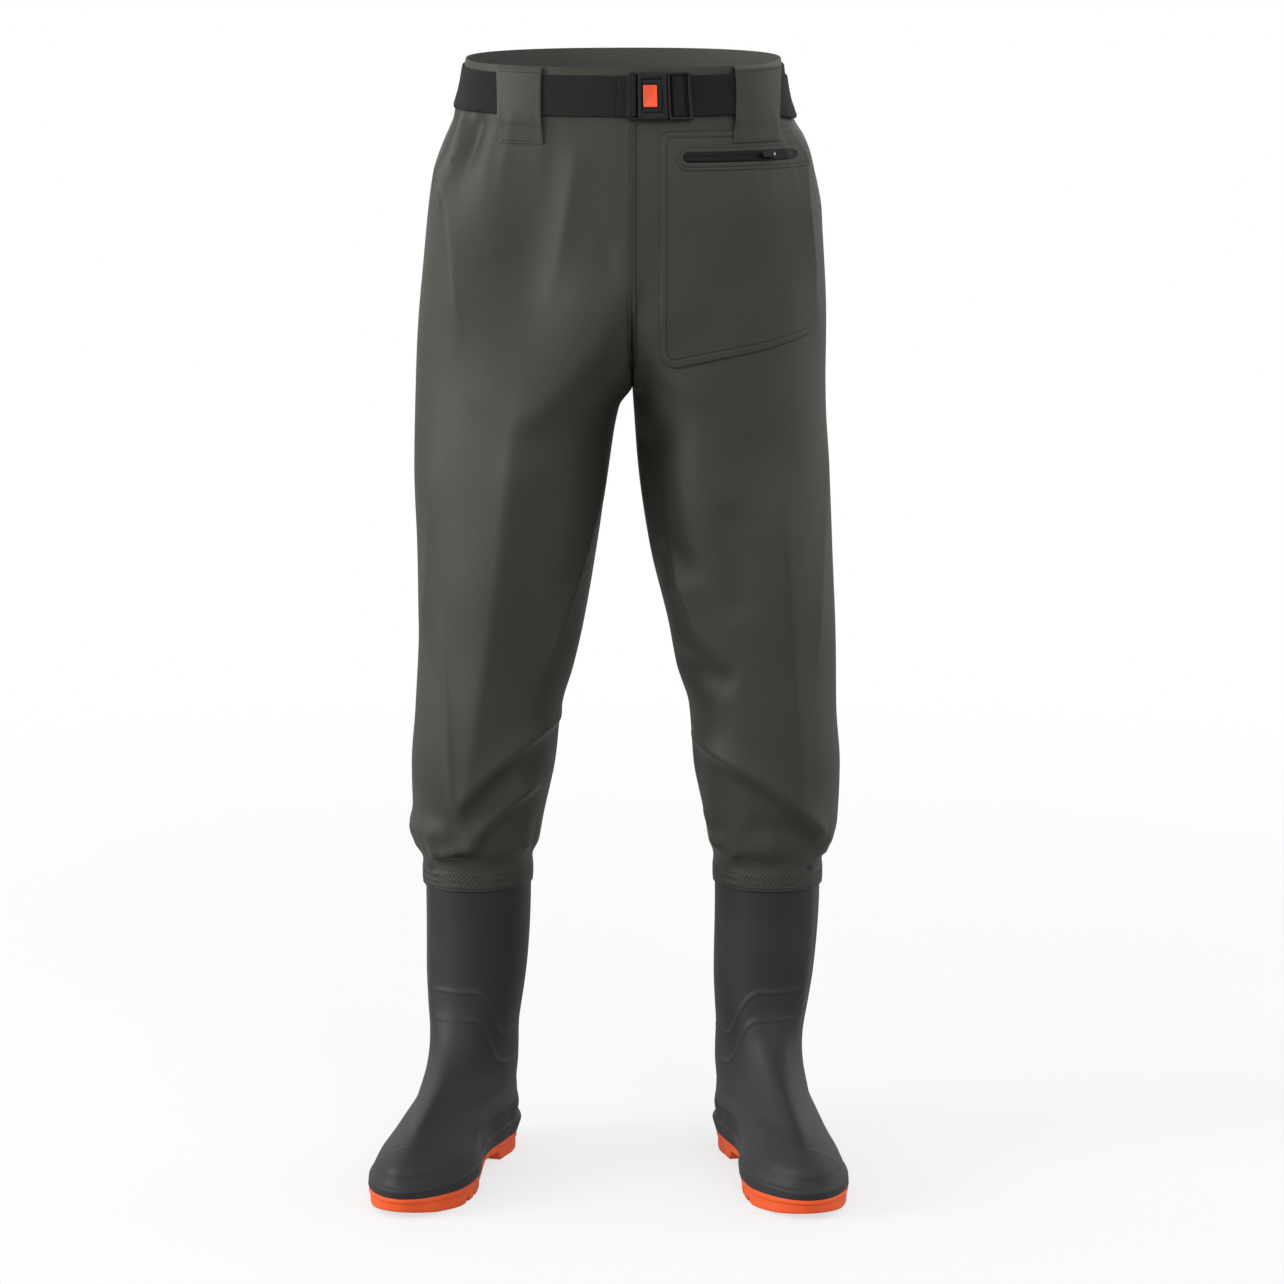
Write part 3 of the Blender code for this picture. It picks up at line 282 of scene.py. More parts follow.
# Folds of the cloth, each from one place to another: distance from the seam and height, in metres.
# Bow lifts the line between its ends. A ridge stands out over its width and a trough is a negative ridge.
# A step is a lip on the line that overhangs a hollow. Sharp is 0 for a round fold and 1 for a creased one.
# Rise and fade are the shares of its length over which a fold starts and runs out.
FOLDS = table(
    "side face out z to_out to_z bow width sharp ridge step fade rise",
    (RIGHT, FRONT, 0.108, 0.757, 0.163, 0.372, -0.003, 0.042, 1.0, 0.0120, 0, 0.16, 0.20),
    (RIGHT, FRONT, 0.187, 0.720, 0.201, 0.545, 0.000, 0.008, 1.0, 0.0028, 0, 0.16, 0.20),
    (RIGHT, FRONT, 0.184, 0.560, 0.172, 0.370, 0.002, 0.0065, 1.0, 0.0036, 0, 0.16, 0.20),
    (RIGHT, FRONT, 0.024, 0.710, 0.087, 0.498, -0.004, 0.010, 1.0, 0.0040, 0, 0.16, 0.20),
    (RIGHT, FRONT, 0.068, 0.456, 0.170, 0.366, 0.013, 0.012, 0.0, 0.0010, 0.0085, 0.16, 0.20),
    (RIGHT, FRONT, 0.092, 0.392, 0.160, 0.328, 0.007, 0.011, 0.0, 0.0010, 0.0075, 0.16, 0.20),
    (RIGHT, FRONT, 0.150, 0.330, 0.197, 0.315, 0.001, 0.008, 0.0, 0.0010, 0.0065, 0.16, 0.20),
    (RIGHT, BOTH, 0.175, 0.342, 0.222, 0.336, 0.000, 0.013, 0.0, 0.0050, 0, 0.16, 0.20),
    (RIGHT, FRONT, 0.180, 0.990, 0.167, 0.806, 0.005, 0.013, 0.8, 0.0060, 0, 0.35, 0.20),
    (RIGHT, FRONT, 0.098, 1.045, 0.104, 0.785, 0.000, 0.045, 0.0, -0.0160, 0, 0.44, 0.60),
    (RIGHT, FRONT, 0.050, 1.020, 0.084, 0.850, -0.003, 0.016, 0.7, 0.0042, 0, 0.55, 0.20),
    (RIGHT, FRONT, 0.004, 0.868, 0.114, 0.742, -0.006, 0.022, 0.0, 0, 0.0052, 0.16, 0.20),
    (RIGHT, FRONT, 0.016, 0.930, 0.020, 0.860, 0.000, 0.012, 0.0, -0.0025, 0, 0.55, 0.20),
    (RIGHT, FRONT, 0.085, 0.700, 0.104, 0.480, 0.002, 0.022, 0.0, -0.0040, 0, 0.16, 0.20),
    (RIGHT, BOTH, 0.164, 1.048, 0.186, 0.985, 0.000, 0.006, 0.0, -0.0040, 0, 0.30, 0.20),
    (RIGHT, BOTH, 0.152, 1.050, 0.179, 0.950, 0.000, 0.007, 0.9, 0.0066, 0, 0.30, 0.20),
    (RIGHT, FRONT, 0.140, 1.050, 0.162, 0.978, 0.000, 0.008, 0.0, -0.0062, 0, 0.50, 0.20),
    (LEFT, FRONT, 0.134, 0.705, 0.161, 0.372, 0.002, 0.038, 1.0, 0.0105, 0, 0.16, 0.20),
    (LEFT, FRONT, 0.189, 0.735, 0.175, 0.510, 0.001, 0.008, 1.0, 0.0028, 0, 0.16, 0.20),
    (LEFT, FRONT, 0.020, 0.745, 0.044, 0.595, -0.012, 0.022, 0.0, -0.0095, 0, 0.16, 0.20),
    (LEFT, FRONT, 0.024, 0.634, 0.068, 0.528, 0.001, 0.008, 1.0, 0.0042, 0, 0.16, 0.20),
    (LEFT, FRONT, 0.036, 0.512, 0.098, 0.494, 0.000, 0.015, 0.0, -0.0060, 0, 0.16, 0.20),
    (LEFT, FRONT, 0.052, 0.436, 0.194, 0.324, 0.018, 0.013, 0.0, 0.0010, 0.0090, 0.16, 0.20),
    (LEFT, BOTH, 0.194, 0.316, 0.164, 0.297, 0.000, 0.006, 0.0, 0, 0.0034, 0.16, 0.20),
    (LEFT, FRONT, 0.078, 0.332, 0.102, 0.311, 0.000, 0.009, 0.2, 0.0036, 0, 0.16, 0.20),
    (LEFT, FRONT, 0.070, 0.360, 0.086, 0.322, 0.000, 0.007, 0.0, 0, 0.0034, 0.16, 0.20),
    (LEFT, FRONT, 0.001, 0.840, 0.075, 0.768, -0.006, 0.020, 0.0, 0, 0.0036, 0.30, 0.20),
    (LEFT, BOTH, 0.160, 1.030, 0.184, 0.800, -0.003, 0.009, 0.8, 0.0042, 0, 0.55, 0.20),
    (LEFT, BOTH, 0.178, 1.010, 0.196, 0.860, -0.002, 0.010, 0.2, -0.0012, 0, 0.55, 0.20),
    (LEFT, FRONT, 0.090, 0.670, 0.100, 0.560, 0.004, 0.018, 0.0, -0.0035, 0, 0.16, 0.20),
    (LEFT, FRONT, 0.110, 0.345, 0.175, 0.334, 0.004, 0.012, 0.0, -0.0034, 0, 0.16, 0.20),
    (RIGHT, BACK, 0.120, 0.735, 0.160, 0.400, 0.000, 0.040, 0.9, 0.0095, 0, 0.16, 0.20),
    (LEFT, BACK, 0.110, 0.735, 0.145, 0.400, 0.000, 0.040, 0.9, 0.0095, 0, 0.16, 0.20),
    (RIGHT, BACK, 0.006, 0.806, 0.112, 0.725, -0.012, 0.017, 0.0, 0, 0.0065, 0.16, 0.20),
    (LEFT, BACK, 0.006, 0.800, 0.102, 0.728, -0.012, 0.017, 0.0, 0, 0.0065, 0.16, 0.20),
    (RIGHT, BACK, 0.060, 0.520, 0.185, 0.490, -0.010, 0.012, 0.0, -0.0030, 0.0050, 0.16, 0.20),
    (LEFT, BACK, 0.045, 0.536, 0.160, 0.506, -0.012, 0.014, 0.0, -0.0030, 0.0050, 0.16, 0.20),
    (RIGHT, BACK, 0.072, 0.446, 0.140, 0.462, -0.006, 0.014, 0.0, 0.0010, 0.0040, 0.30, 0.20),
    (LEFT, BACK, 0.092, 0.462, 0.176, 0.428, -0.006, 0.014, 0.0, 0.0010, 0.0040, 0.30, 0.20),
    (RIGHT, BACK, 0.090, 0.385, 0.195, 0.350, -0.004, 0.012, 0.0, 0.0010, 0.0070, 0.16, 0.20),
    (LEFT, BACK, 0.075, 0.380, 0.180, 0.355, -0.004, 0.012, 0.0, 0.0010, 0.0070, 0.16, 0.20),
    (RIGHT, BACK, 0.060, 1.015, 0.085, 0.870, 0.002, 0.018, 0.4, 0.0040, 0, 0.55, 0.20),
    (LEFT, BACK, 0.055, 1.015, 0.078, 0.880, 0.002, 0.018, 0.4, 0.0040, 0, 0.55, 0.20),
    (RIGHT, BACK, 0.130, 1.000, 0.140, 0.880, 0.002, 0.020, 0.0, -0.0050, 0, 0.55, 0.20),
    (LEFT, BACK, 0.122, 1.005, 0.134, 0.890, 0.002, 0.020, 0.0, -0.0050, 0, 0.55, 0.20),
)
# Studio lights: place, size, power and colour. Each faces the middle of the wader.
LIGHTS = {
    "left_box": ((-3.4, -0.9, 1.4), 1.3, 102, (1.0, 0.985, 0.93)),
    "front": ((1.2, -3.8, 2.8), 1.3, 34, (0.96, 0.985, 1.0)),
    "rim": ((3.3, 1.3, 0.9), 1.5, 12, (0.97, 0.99, 1.0)),
}


def smooth(columns, name, at):
    """Value of a column on a cubic through the rows whose tangents never overshoot them."""
    places, values = next(iter(columns.values())), columns[name]
    slopes = np.diff(values) / np.diff(places)
    product = slopes[:-1] * slopes[1:]
    total = np.where(product > 0, slopes[:-1] + slopes[1:], 1.0)
    middle = np.where(product > 0, 2 * product / total, 0.0)
    tangents = np.concatenate([slopes[:1], middle, slopes[-1:]])
    at = np.clip(at, places[0], places[-1])
    index = np.clip(np.searchsorted(places, at) - 1, 0, len(places) - 2)
    step = places[index + 1] - places[index]
    t = (at - places[index]) / step
    rise = values[index + 1] - values[index]
    start, end = tangents[index] * step, tangents[index + 1] * step
    return values[index] + t * (start + t * (3 * rise - 2 * start - end + t * (start + end - 2 * rise)))


def ease(at, low, high):
    """0 below low, 1 above high, and a smooth step between."""
    t = np.clip((at - low) / (high - low), 0, 1)
    return t * t * (3 - 2 * t)


def span(at, rise, end):
    """1 between a rise and an end, each a pair of places, and 0 outside them."""
    return ease(at, *rise) * (1 - ease(at, *end))


def same_shape(*values):
    """Numbers and arrays as arrays of one shape."""
    return np.broadcast_arrays(*(np.asarray(value, float) for value in values))


def bump(distance, width):
    """A bell of height 1: e to the minus square of distance over width."""
    return np.exp(-(distance / width) ** 2)


def bell(at, height, middle, width):
    """A bell of this height about a middle."""
    return height * bump(at - middle, width)


def rounded(value, squareness):
    """Cosine or sine made squarer, for a superellipse."""
    return np.sign(value) * np.abs(value) ** (2 / squareness)


# Boot and trouser forms, by the same formulas as the solids

def foot_half_width(angle, toe_share):
    """Half width of the foot's outline on the outer or inner side, over the half chord of an ellipse."""
    lateral, medial = smooth(FOOT, "lateral", toe_share), smooth(FOOT, "medial", toe_share)
    return np.where(np.sin(angle) > 0, lateral, medial)


def boot_ring(angle, level, lift=0.0):
    """Across, station and height on a boot ring: an ellipse over the foot's outline, tilted heel to toe."""
    back, front = smooth(BOOT, "back", level) - lift, smooth(BOOT, "front", level) + lift
    toe_share = (1 + np.cos(angle)) / 2
    station = back + (front - back) * toe_share
    foot, plain = smooth(BOOT, "foot", level), smooth(BOOT, "half", level)
    outline = foot_half_width(angle, toe_share) * smooth(BOOT, "spread", level)
    half = (foot * outline + (1 - foot) * plain) * (1 - smooth(BOOT, "taper", level) * np.cos(angle)) + lift
    heel, toe = smooth(BOOT, "heel_height", level), smooth(BOOT, "toe_height", level)
    dip = smooth(BOOT, "dip", level) * 4 * toe_share * (1 - toe_share)
    return half * np.sin(angle), station, heel + (toe - heel) * toe_share - dip


def stand_boot(side, across, station, height):
    """A point of the boot's own frame, turned out and set on the floor."""
    turn, forward = BOOT_TURN[side], station - SHAFT_STATION
    lean = SHAFT_LEAN[side] * ease(height, LEAN_LOW, LEAN_HIGH)
    out = BOOT_FROM_SEAM[side] + forward * math.sin(turn) + across * math.cos(turn)
    y = BOOT_Y + PLUMB_Y - forward * math.cos(turn) + across * math.sin(turn)
    return np.stack(np.broadcast_arrays(SEAM_X + side * out + lean, y, height), axis=-1)


def drape(side, around, height):
    """Outside of the plain trousers: superellipse legs that blend into a half body above the crotch."""
    around, height = same_shape(around, height)
    name = SIDE_NAMES[side]
    outer = smooth(TROUSERS, name + "_outer", height)
    inner = np.where(height < CROTCH_HEIGHT, smooth(INSEAM, name + "_inner", height), 0.0)
    front, back = smooth(TROUSERS, "front", height), smooth(TROUSERS, "back", height)
    middle, depth = (front + back) / 2, (back - front) / 2

    turn = around * math.pi
    below = height < CROTCH_HEIGHT
    on_body = ease(height, CROTCH_HEIGHT, CROTCH_HEIGHT + BACK_RISE)
    leg_share = (1 + rounded(np.cos(turn), LEG_SQUARENESS)) / 2
    share = leg_share + on_body * (rounded(np.cos(turn / 2), BODY_SQUARENESS) - leg_share)
    size = np.clip(np.abs(share), 0, 1)
    oval = (1 - np.abs(2 * size - 1) ** LEG_SQUARENESS) ** (1 / LEG_SQUARENESS)
    closing = np.where(size < 0.5, oval, 1.0)
    rise = np.where(around < 0, FRONT_RISE, BACK_RISE)
    above = np.clip((height - CROTCH_HEIGHT) / rise, 0, 1)
    fork = 1 - np.sqrt(1 - (1 - above) ** 2)
    half_body = (1 - size ** BODY_SQUARENESS) ** (1 / BODY_SQUARENESS)
    hip = half_body * (1 - fork * (1 - closing))
    on_hip = ease(height, CROTCH_HEIGHT - THIGH_BLEND, CROTCH_HEIGHT)
    facing = np.where(below, np.sign(np.sin(turn)), np.sign(around))
    y = middle + depth * facing * (oval + on_hip * (hip - oval))
    out = inner + (outer - inner) * share
    lean = WAIST_LEAN * ease(height, LEAN_FROM, WAIST_HEIGHT) * (y - front)
    points = np.stack([SEAM_X + side * out, y + PLUMB_Y, height + lean], axis=-1)

    boot_angle = math.pi / 2 + turn - BOOT_TURN[side]
    shaft_level = np.interp(height, BOOT["heel_height"], BOOT["level"])
    weld = stand_boot(side, *boot_ring(boot_angle, shaft_level, GAP + CLOTH_WALL))
    weld[..., 2] = height
    free = ease(height, HEM_WELD_TOP, HEM_WELD_TOP + HEM_BLOUSE)[..., None]
    return free * points + (1 - free) * weld


def soft_drape(side, around, height):
    """The plain drape with the turn of its slope at the crotch's height spread over a few centimetres."""
    around, height = same_shape(around, height)
    plain = drape(side, around, height)
    near = (1 - ease(np.abs(height - CROTCH_HEIGHT), *SOFT_REACH)) * (1 - ease(np.abs(around), *SOFT_AROUND))
    spread = sum(drape(side, around, height + shift) for shift in SOFT_SHIFTS) / len(SOFT_SHIFTS)
    return plain + near[..., None] * (spread - plain)


def fold_relief(side, points, normal):
    """How far the folds lift the cloth: for each line, a bell or a lip across it, faded at its ends.

    A lip falls off slowly above the line, drops steeply below it and comes back over three widths.
    """
    out, z = side * (points[..., 0] - SEAM_X), points[..., 2]
    facing = {face: ease(face * normal[..., 1], *FOLD_FACING) for face in (FRONT, BACK)}
    facing[BOTH] = 1.0
    relief = np.zeros(out.shape)
    for row in zip(*FOLDS.values()):
        fold = dict(zip(FOLDS, row))
        if fold["side"] != side:
            continue
        run, climb = fold["to_out"] - fold["out"], fold["to_z"] - fold["z"]
        length = math.hypot(run, climb)
        run, climb = run / length, climb / length
        t = ((out - fold["out"]) * run + (z - fold["z"]) * climb) / length
        upward = 1 if run > 0 else -1
        off = upward * ((z - fold["z"]) * run - (out - fold["out"]) * climb)
        off = off - fold["bow"] * 4 * np.clip(t, 0, 1) * (1 - np.clip(t, 0, 1))
        q = off / fold["width"]
        crease = np.exp(CREASE_ROUND - np.sqrt(CREASE_FALL * q * q + CREASE_ROUND ** 2))
        form = (1 - fold["sharp"]) * np.exp(-q * q) + fold["sharp"] * crease
        hollow = (1 + LIP_HOLLOW) * bump(q, LIP_DROP) - LIP_HOLLOW * bump(q, LIP_BACK)
        lip = np.where(q > 0, np.exp(-np.abs(q) / LIP_ABOVE), hollow)
        ends = span(t, (FOLD_START, fold["rise"]), (1 - fold["fade"], FOLD_END))
        relief += facing[int(fold["face"])] * ends * (fold["ridge"] * form + fold["step"] * lip)
    return relief


def waves(rows, side, around, z):
    """A sum of sines round the cloth and up it."""
    return sum(size * np.sin(turns * around + climbs * z + by_side * side + phase)
               for size, turns, climbs, by_side, phase in rows)


def small_relief(side, around, z):
    """Gathers under the belt, pleats over the hem and a slow unevenness: sums of sines."""
    at_side, behind = bump(around - 0.02, 0.30), ease(around, 0.3, 0.6)
    gathered = 0.25 + (0.45 - 0.30 * side) * at_side + 0.5 * behind
    gathers = GATHER_HIGH * gathered * waves(GATHERS, side, around, z) * span(z, GATHER_RISE, GATHER_END)
    pleats = PLEAT_HIGH * waves(PLEATS, side, around, z) * span(z, PLEAT_RISE, PLEAT_END)
    return gathers + pleats + UNEVEN_HIGH * waves(UNEVEN, side, around, z) * span(z, UNEVEN_RISE, UNEVEN_END)


def wrap(side, around, height, lift=0.0):
    """Outside of the folded cloth: the plain drape moved outward by its folds and the lift."""
    around, height = same_shape(around, height)
    step, least = 1e-3, 1e-12
    along = soft_drape(side, around + step, height) - soft_drape(side, around - step, height)
    up = soft_drape(side, around, height + step) - soft_drape(side, around, height - step)
    normal = side * np.cross(along, up)
    on_seam = (np.abs(around) > 1 - 1e-9) & (height >= CROTCH_HEIGHT)
    normal[..., 0] = np.where(on_seam, 0.0, normal[..., 0])
    normal /= np.maximum(np.linalg.norm(normal, axis=-1, keepdims=True), least)
    plain = soft_drape(side, around, height)
    beside = ease(side * (plain[..., 0] - SEAM_X), 0.0, CALM_BESIDE)
    calm = 1 - (1 - beside) * ease(height, CROTCH_HEIGHT - CALM_BELOW, CROTCH_HEIGHT)
    folds = fold_relief(side, plain, normal) * calm * span(height, FOLDS_RISE, FOLDS_END)
    relief = (folds + small_relief(side, around, height)) * ease(1 - np.abs(around), 0.0, SEAM_FLAT)
    return plain + normal * (relief + lift)[..., None]


def stitch_line(place, lift):
    """A line for stitches, by a place that depends on the lift: its points and their outward directions."""
    step = 0.001
    low, high = place(lift), place(lift + step)
    return low, (high - low) / step


def waist(turn, height, lift):
    """A point on the cloth at the waist. Turn is 0 at the front seam and 2 at the back, positive left."""
    turn = (np.asarray(turn, float) + 2) % 4 - 2
    left = wrap(LEFT, np.clip(turn, 0, 2) - 1, height, lift)
    right = wrap(RIGHT, np.clip(-turn, 0, 2) - 1, height, lift)
    return np.where((turn >= 0)[..., None], left, right)


def turn_at(from_seam, height=BELT_HEIGHT, back=False):
    """Turn of a distance from the front seam, positive to the wearer's left, seen from front or back."""
    samples = np.linspace(0, 1, ROW_SAMPLES) * (1 if back else -1)
    turns = {}
    for side in (RIGHT, LEFT):
        out = side * (drape(side, samples, height)[:, 0] - SEAM_X)
        turns[side] = np.interp(np.abs(from_seam), out[::-1], samples[::-1]) + 1
    return np.where(np.asarray(from_seam) >= 0, turns[LEFT], -turns[RIGHT])


# Meshes

MERGE_DISTANCE, SHARP_ANGLE = 1e-6, math.radians(50)
STITCH_STEPS, STITCH_SIDES, STITCH_BOW, STITCH_SUNK, STITCH_TIP = 6, 6, 1.4, 0.5, 0.06


def grid_faces(rows, columns, first=0, closed=False):
    """Quads of a grid of points, joined round where it is closed."""
    r, c = np.meshgrid(np.arange(rows - 1), np.arange(columns if closed else columns - 1), indexing="ij")
    near, far = first + r * columns, first + (r + 1) * columns
    quads = np.stack([near + c, near + (c + 1) % columns, far + (c + 1) % columns, far + c], axis=-1)
    return quads.reshape(-1, 4).tolist()


def arc_lengths(points):
    """Distances along both ways of a grid, in metres, for a pattern that follows the surface."""
    across = np.linalg.norm(np.diff(points, axis=1, prepend=points[:, :1]), axis=-1).cumsum(axis=1)
    along = np.linalg.norm(np.diff(points, axis=0, prepend=points[:1]), axis=-1).cumsum(axis=0)
    return np.stack([across, along], axis=-1)


def add_piece(name, points, faces, finish, stands_for=(), body="wader", maps=None, lined=None):
    """One piece whose mesh faces out, set on its body. Lined is a second finish and which faces have it."""
    mesh = bpy.data.meshes.new(name)
    mesh.from_pydata(np.asarray(points).reshape(-1, 3).tolist(), [], faces)
    corners = np.empty(len(mesh.loops), np.int32)
    mesh.loops.foreach_get("vertex_index", corners)
    for title, values in (maps or {}).items():
        layer = mesh.uv_layers.new(name=title)
        layer.data.foreach_set("uv", np.asarray(values).reshape(-1, 2)[corners].astype(np.float32).ravel())
    if lined is not None:
        mesh.polygons.foreach_set("material_index", lined[1].astype(np.int32))
    shape = bmesh.new()
    shape.from_mesh(mesh)
    bmesh.ops.remove_doubles(shape, verts=shape.verts, dist=MERGE_DISTANCE)
    bmesh.ops.recalc_face_normals(shape, faces=shape.faces)
    if shape.calc_volume(signed=True) < 0:
        bmesh.ops.reverse_faces(shape, faces=shape.faces)
    shape.to_mesh(mesh)
    shape.free()
    mesh.shade_smooth()
    mesh.set_sharp_from_angle(angle=SHARP_ANGLE)
    for used in (finish, *(lined or ())[:1]):
        mesh.materials.append(used)
    made = bpy.data.objects.new(name, mesh)
    bpy.context.scene.collection.objects.link(made)
    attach(made, body)
    if stands_for:
        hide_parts(*stands_for)


def slab(name, low, high, finish, stands_for=(), mark=None, edges=None):
    """A closed plate between two grids of points. A mark on each point takes the place of its distances."""
    rows, columns = low.shape[:2]
    count = rows * columns
    faces = grid_faces(rows, columns) + grid_faces(rows, columns, count)
    edge = list(range(columns))
    edge += [r * columns + columns - 1 for r in range(1, rows)]
    edge += [(rows - 1) * columns + c for c in range(columns - 2, -1, -1)]
    edge += [r * columns for r in range(rows - 2, 0, -1)]
    faces += [(a, b, b + count, a + count) for a, b in zip(edge, edge[1:] + edge[:1])]
    points = np.concatenate([low.reshape(-1, 3), high.reshape(-1, 3)])
    weave = np.concatenate([arc_lengths(low).reshape(-1, 2), arc_lengths(high).reshape(-1, 2)])
    if mark is not None:
        weave = np.concatenate([mark.reshape(-1, 1)] * 2).repeat(2, axis=1)
    maps = {"weave": weave}
    if edges is not None:
        maps["edges"] = np.concatenate([edges.reshape(-1, 2)] * 2)
    add_piece(name, points, faces, finish, stands_for, maps=maps)


def tube(points, ends=True):
    """Faces of a closed profile (columns) carried along a path (rows), with its two ends capped."""
    rows, columns = points.shape[:2]
    faces = grid_faces(rows, columns, closed=True)
    if ends:
        faces += [list(range(columns)), [(rows - 1) * columns + c for c in range(columns)]]
    return faces


def shell(name, outer, inner, closed, finish, inside, stands_for):
    """A wall between outer grids and inner grids of half their density, joined along first and last rows.

    The weave is measured across from the middle column: near the ends of its rows the surface turns sharply.
    """
    points, faces, weave, starts, first = [], [], [], [], []
    count = 0
    for grid in (*outer, *inner):
        starts.append(count)
        first.append(len(faces))
        faces += grid_faces(*grid.shape[:2], count, closed)
        points.append(grid.reshape(-1, 3))
        lengths = arc_lengths(grid)
        lengths[..., 0] -= lengths[:, grid.shape[1] // 2, None, 0]
        weave.append(lengths.reshape(-1, 2))
        count += len(points[-1])
    lined = np.arange(len(faces)) >= first[len(outer)]
    for k, (out_grid, in_grid) in enumerate(zip(outer, inner)):
        wide, narrow = out_grid.shape[1], in_grid.shape[1]
        for last in (False, True):
            a = starts[k] + (wide * (out_grid.shape[0] - 1) if last else 0)
            b = starts[k + len(outer)] + (narrow * (in_grid.shape[0] - 1) if last else 0)
            c = np.arange(narrow if closed else narrow - 1)
            rim = [a + 2 * c, a + 2 * c + 1, a + (2 * c + 2) % wide, b + (c + 1) % narrow, b + c]
            faces += np.stack(rim, axis=-1).tolist()
    lined = np.append(lined, np.zeros(len(faces) - len(lined), bool))
    add_piece(name, np.concatenate(points), faces, finish, stands_for,
              maps={"weave": np.concatenate(weave)}, lined=(inside, lined))


def stitch_row(points, normals):
    """Vertices and faces of a row of stitches: short round-ended threads bent over the surface."""
    lengths = np.concatenate([[0], np.linalg.norm(np.diff(points, axis=0), axis=-1).cumsum()])
    starts = np.arange(STITCH_GAP / 2, lengths[-1] - STITCH, STITCH + STITCH_GAP)
    share = np.linspace(0, 1, STITCH_STEPS)
    at = starts[:, None] + STITCH * share[None, :]
    middle, up = (np.stack([np.interp(at, lengths, values[:, k]) for k in range(3)], axis=-1)
                  for values in (points, normals))
    along = np.gradient(middle, axis=1)
    along /= np.linalg.norm(along, axis=-1, keepdims=True)
    side = np.cross(along, up)
    bow = STITCH_RADIUS * (STITCH_BOW * np.sin(math.pi * share) - STITCH_SUNK)
    middle = middle + up * bow[None, :, None]
    turn = np.arange(STITCH_SIDES) * 2 * math.pi / STITCH_SIDES
    size = STITCH_RADIUS * np.sqrt(np.sin(math.pi * np.clip(share, STITCH_TIP, 1 - STITCH_TIP)))
    ring = np.cos(turn)[:, None] * side[:, :, None, :] + np.sin(turn)[:, None] * up[:, :, None, :]
    rings = middle[:, :, None, :] + size[None, :, None, None] * ring
    one = tube(rings[0])
    count = STITCH_STEPS * STITCH_SIDES
    return rings.reshape(-1, 3), [[v + k * count for v in face] for k in range(len(rings)) for face in one]


def add_stitches(name, rows):
    """Rows of stitches joined into one piece. A row is a line of points and their outward directions."""
    points, faces, count = [], [], 0
    for line, normals in rows:
        vertices, quads = stitch_row(line, normals)
        faces += [[v + count for v in quad] for quad in quads]
        points.append(vertices)
        count += len(vertices)
    add_piece(name, np.concatenate(points), faces, thread)


# Finishes

# Dark and light tone of each finish, as linear colours
TONES = {
    "cloth": ((0.0244, 0.0253, 0.0184), (0.0284, 0.0295, 0.0215)),
    "lining": ((0.045, 0.047, 0.040), (0.075, 0.077, 0.068)),
    "weld": ((0.0265, 0.0280, 0.0224), (0.0310, 0.0328, 0.0262)),
    "webbing": ((0.004, 0.004, 0.0044), (0.012, 0.012, 0.0125)),
    "rubber": ((0.0100, 0.0097, 0.0116), (0.0150, 0.0145, 0.0170)),
    "sole": ((0.64, 0.072, 0.011), (0.72, 0.096, 0.018)),
    "plastic": ((0.0036, 0.0036, 0.0044), (0.0058, 0.0058, 0.0068)),
    "button": ((0.72, 0.066, 0.016), (0.78, 0.084, 0.024)),
    "zip": ((0.0016, 0.0016, 0.0024), (0.0030, 0.0030, 0.0042)),
    "metal": ((0.012, 0.012, 0.012), (0.045, 0.044, 0.042)),
    # Pale metal painted as the slider's highlight
    "highlight_metal": ((0.42, 0.39, 0.33), (0.70, 0.66, 0.58)),
    "felt": ((0.05, 0.05, 0.05), (0.13, 0.13, 0.125)),
    "thread": ((0.005, 0.005, 0.005), (0.011, 0.011, 0.010)),
    "floor": ((0.58, 0.58, 0.58), (0.62, 0.62, 0.62)),
}
# Rubbed cloth is a lighter random grain; the groove colour is painted shade in the pocket's pressed grooves
# and edge steps
RUBBED_CLOTH, POCKET_GROOVE_SHADE = (0.0430, 0.0446, 0.0340), (0.0085, 0.0090, 0.0072)
# Painted shade for the low parts of the welds' knurl and chevrons
WELD_HOLLOW_SHADE = (0.0105, 0.0110, 0.0092)
WEAVE_PITCH, RIB_PITCH, WARP_PITCH, COIL_PITCH = 0.0009, 0.0016, 0.0021, 0.0013
POCKET_LINES, PATCH_LINES = (0.0004, POCKET_WELD), (0.0003, 0.0034)
LINE_DARK, LINE_EDGE = 0.75, (0.0003, 0.0009)


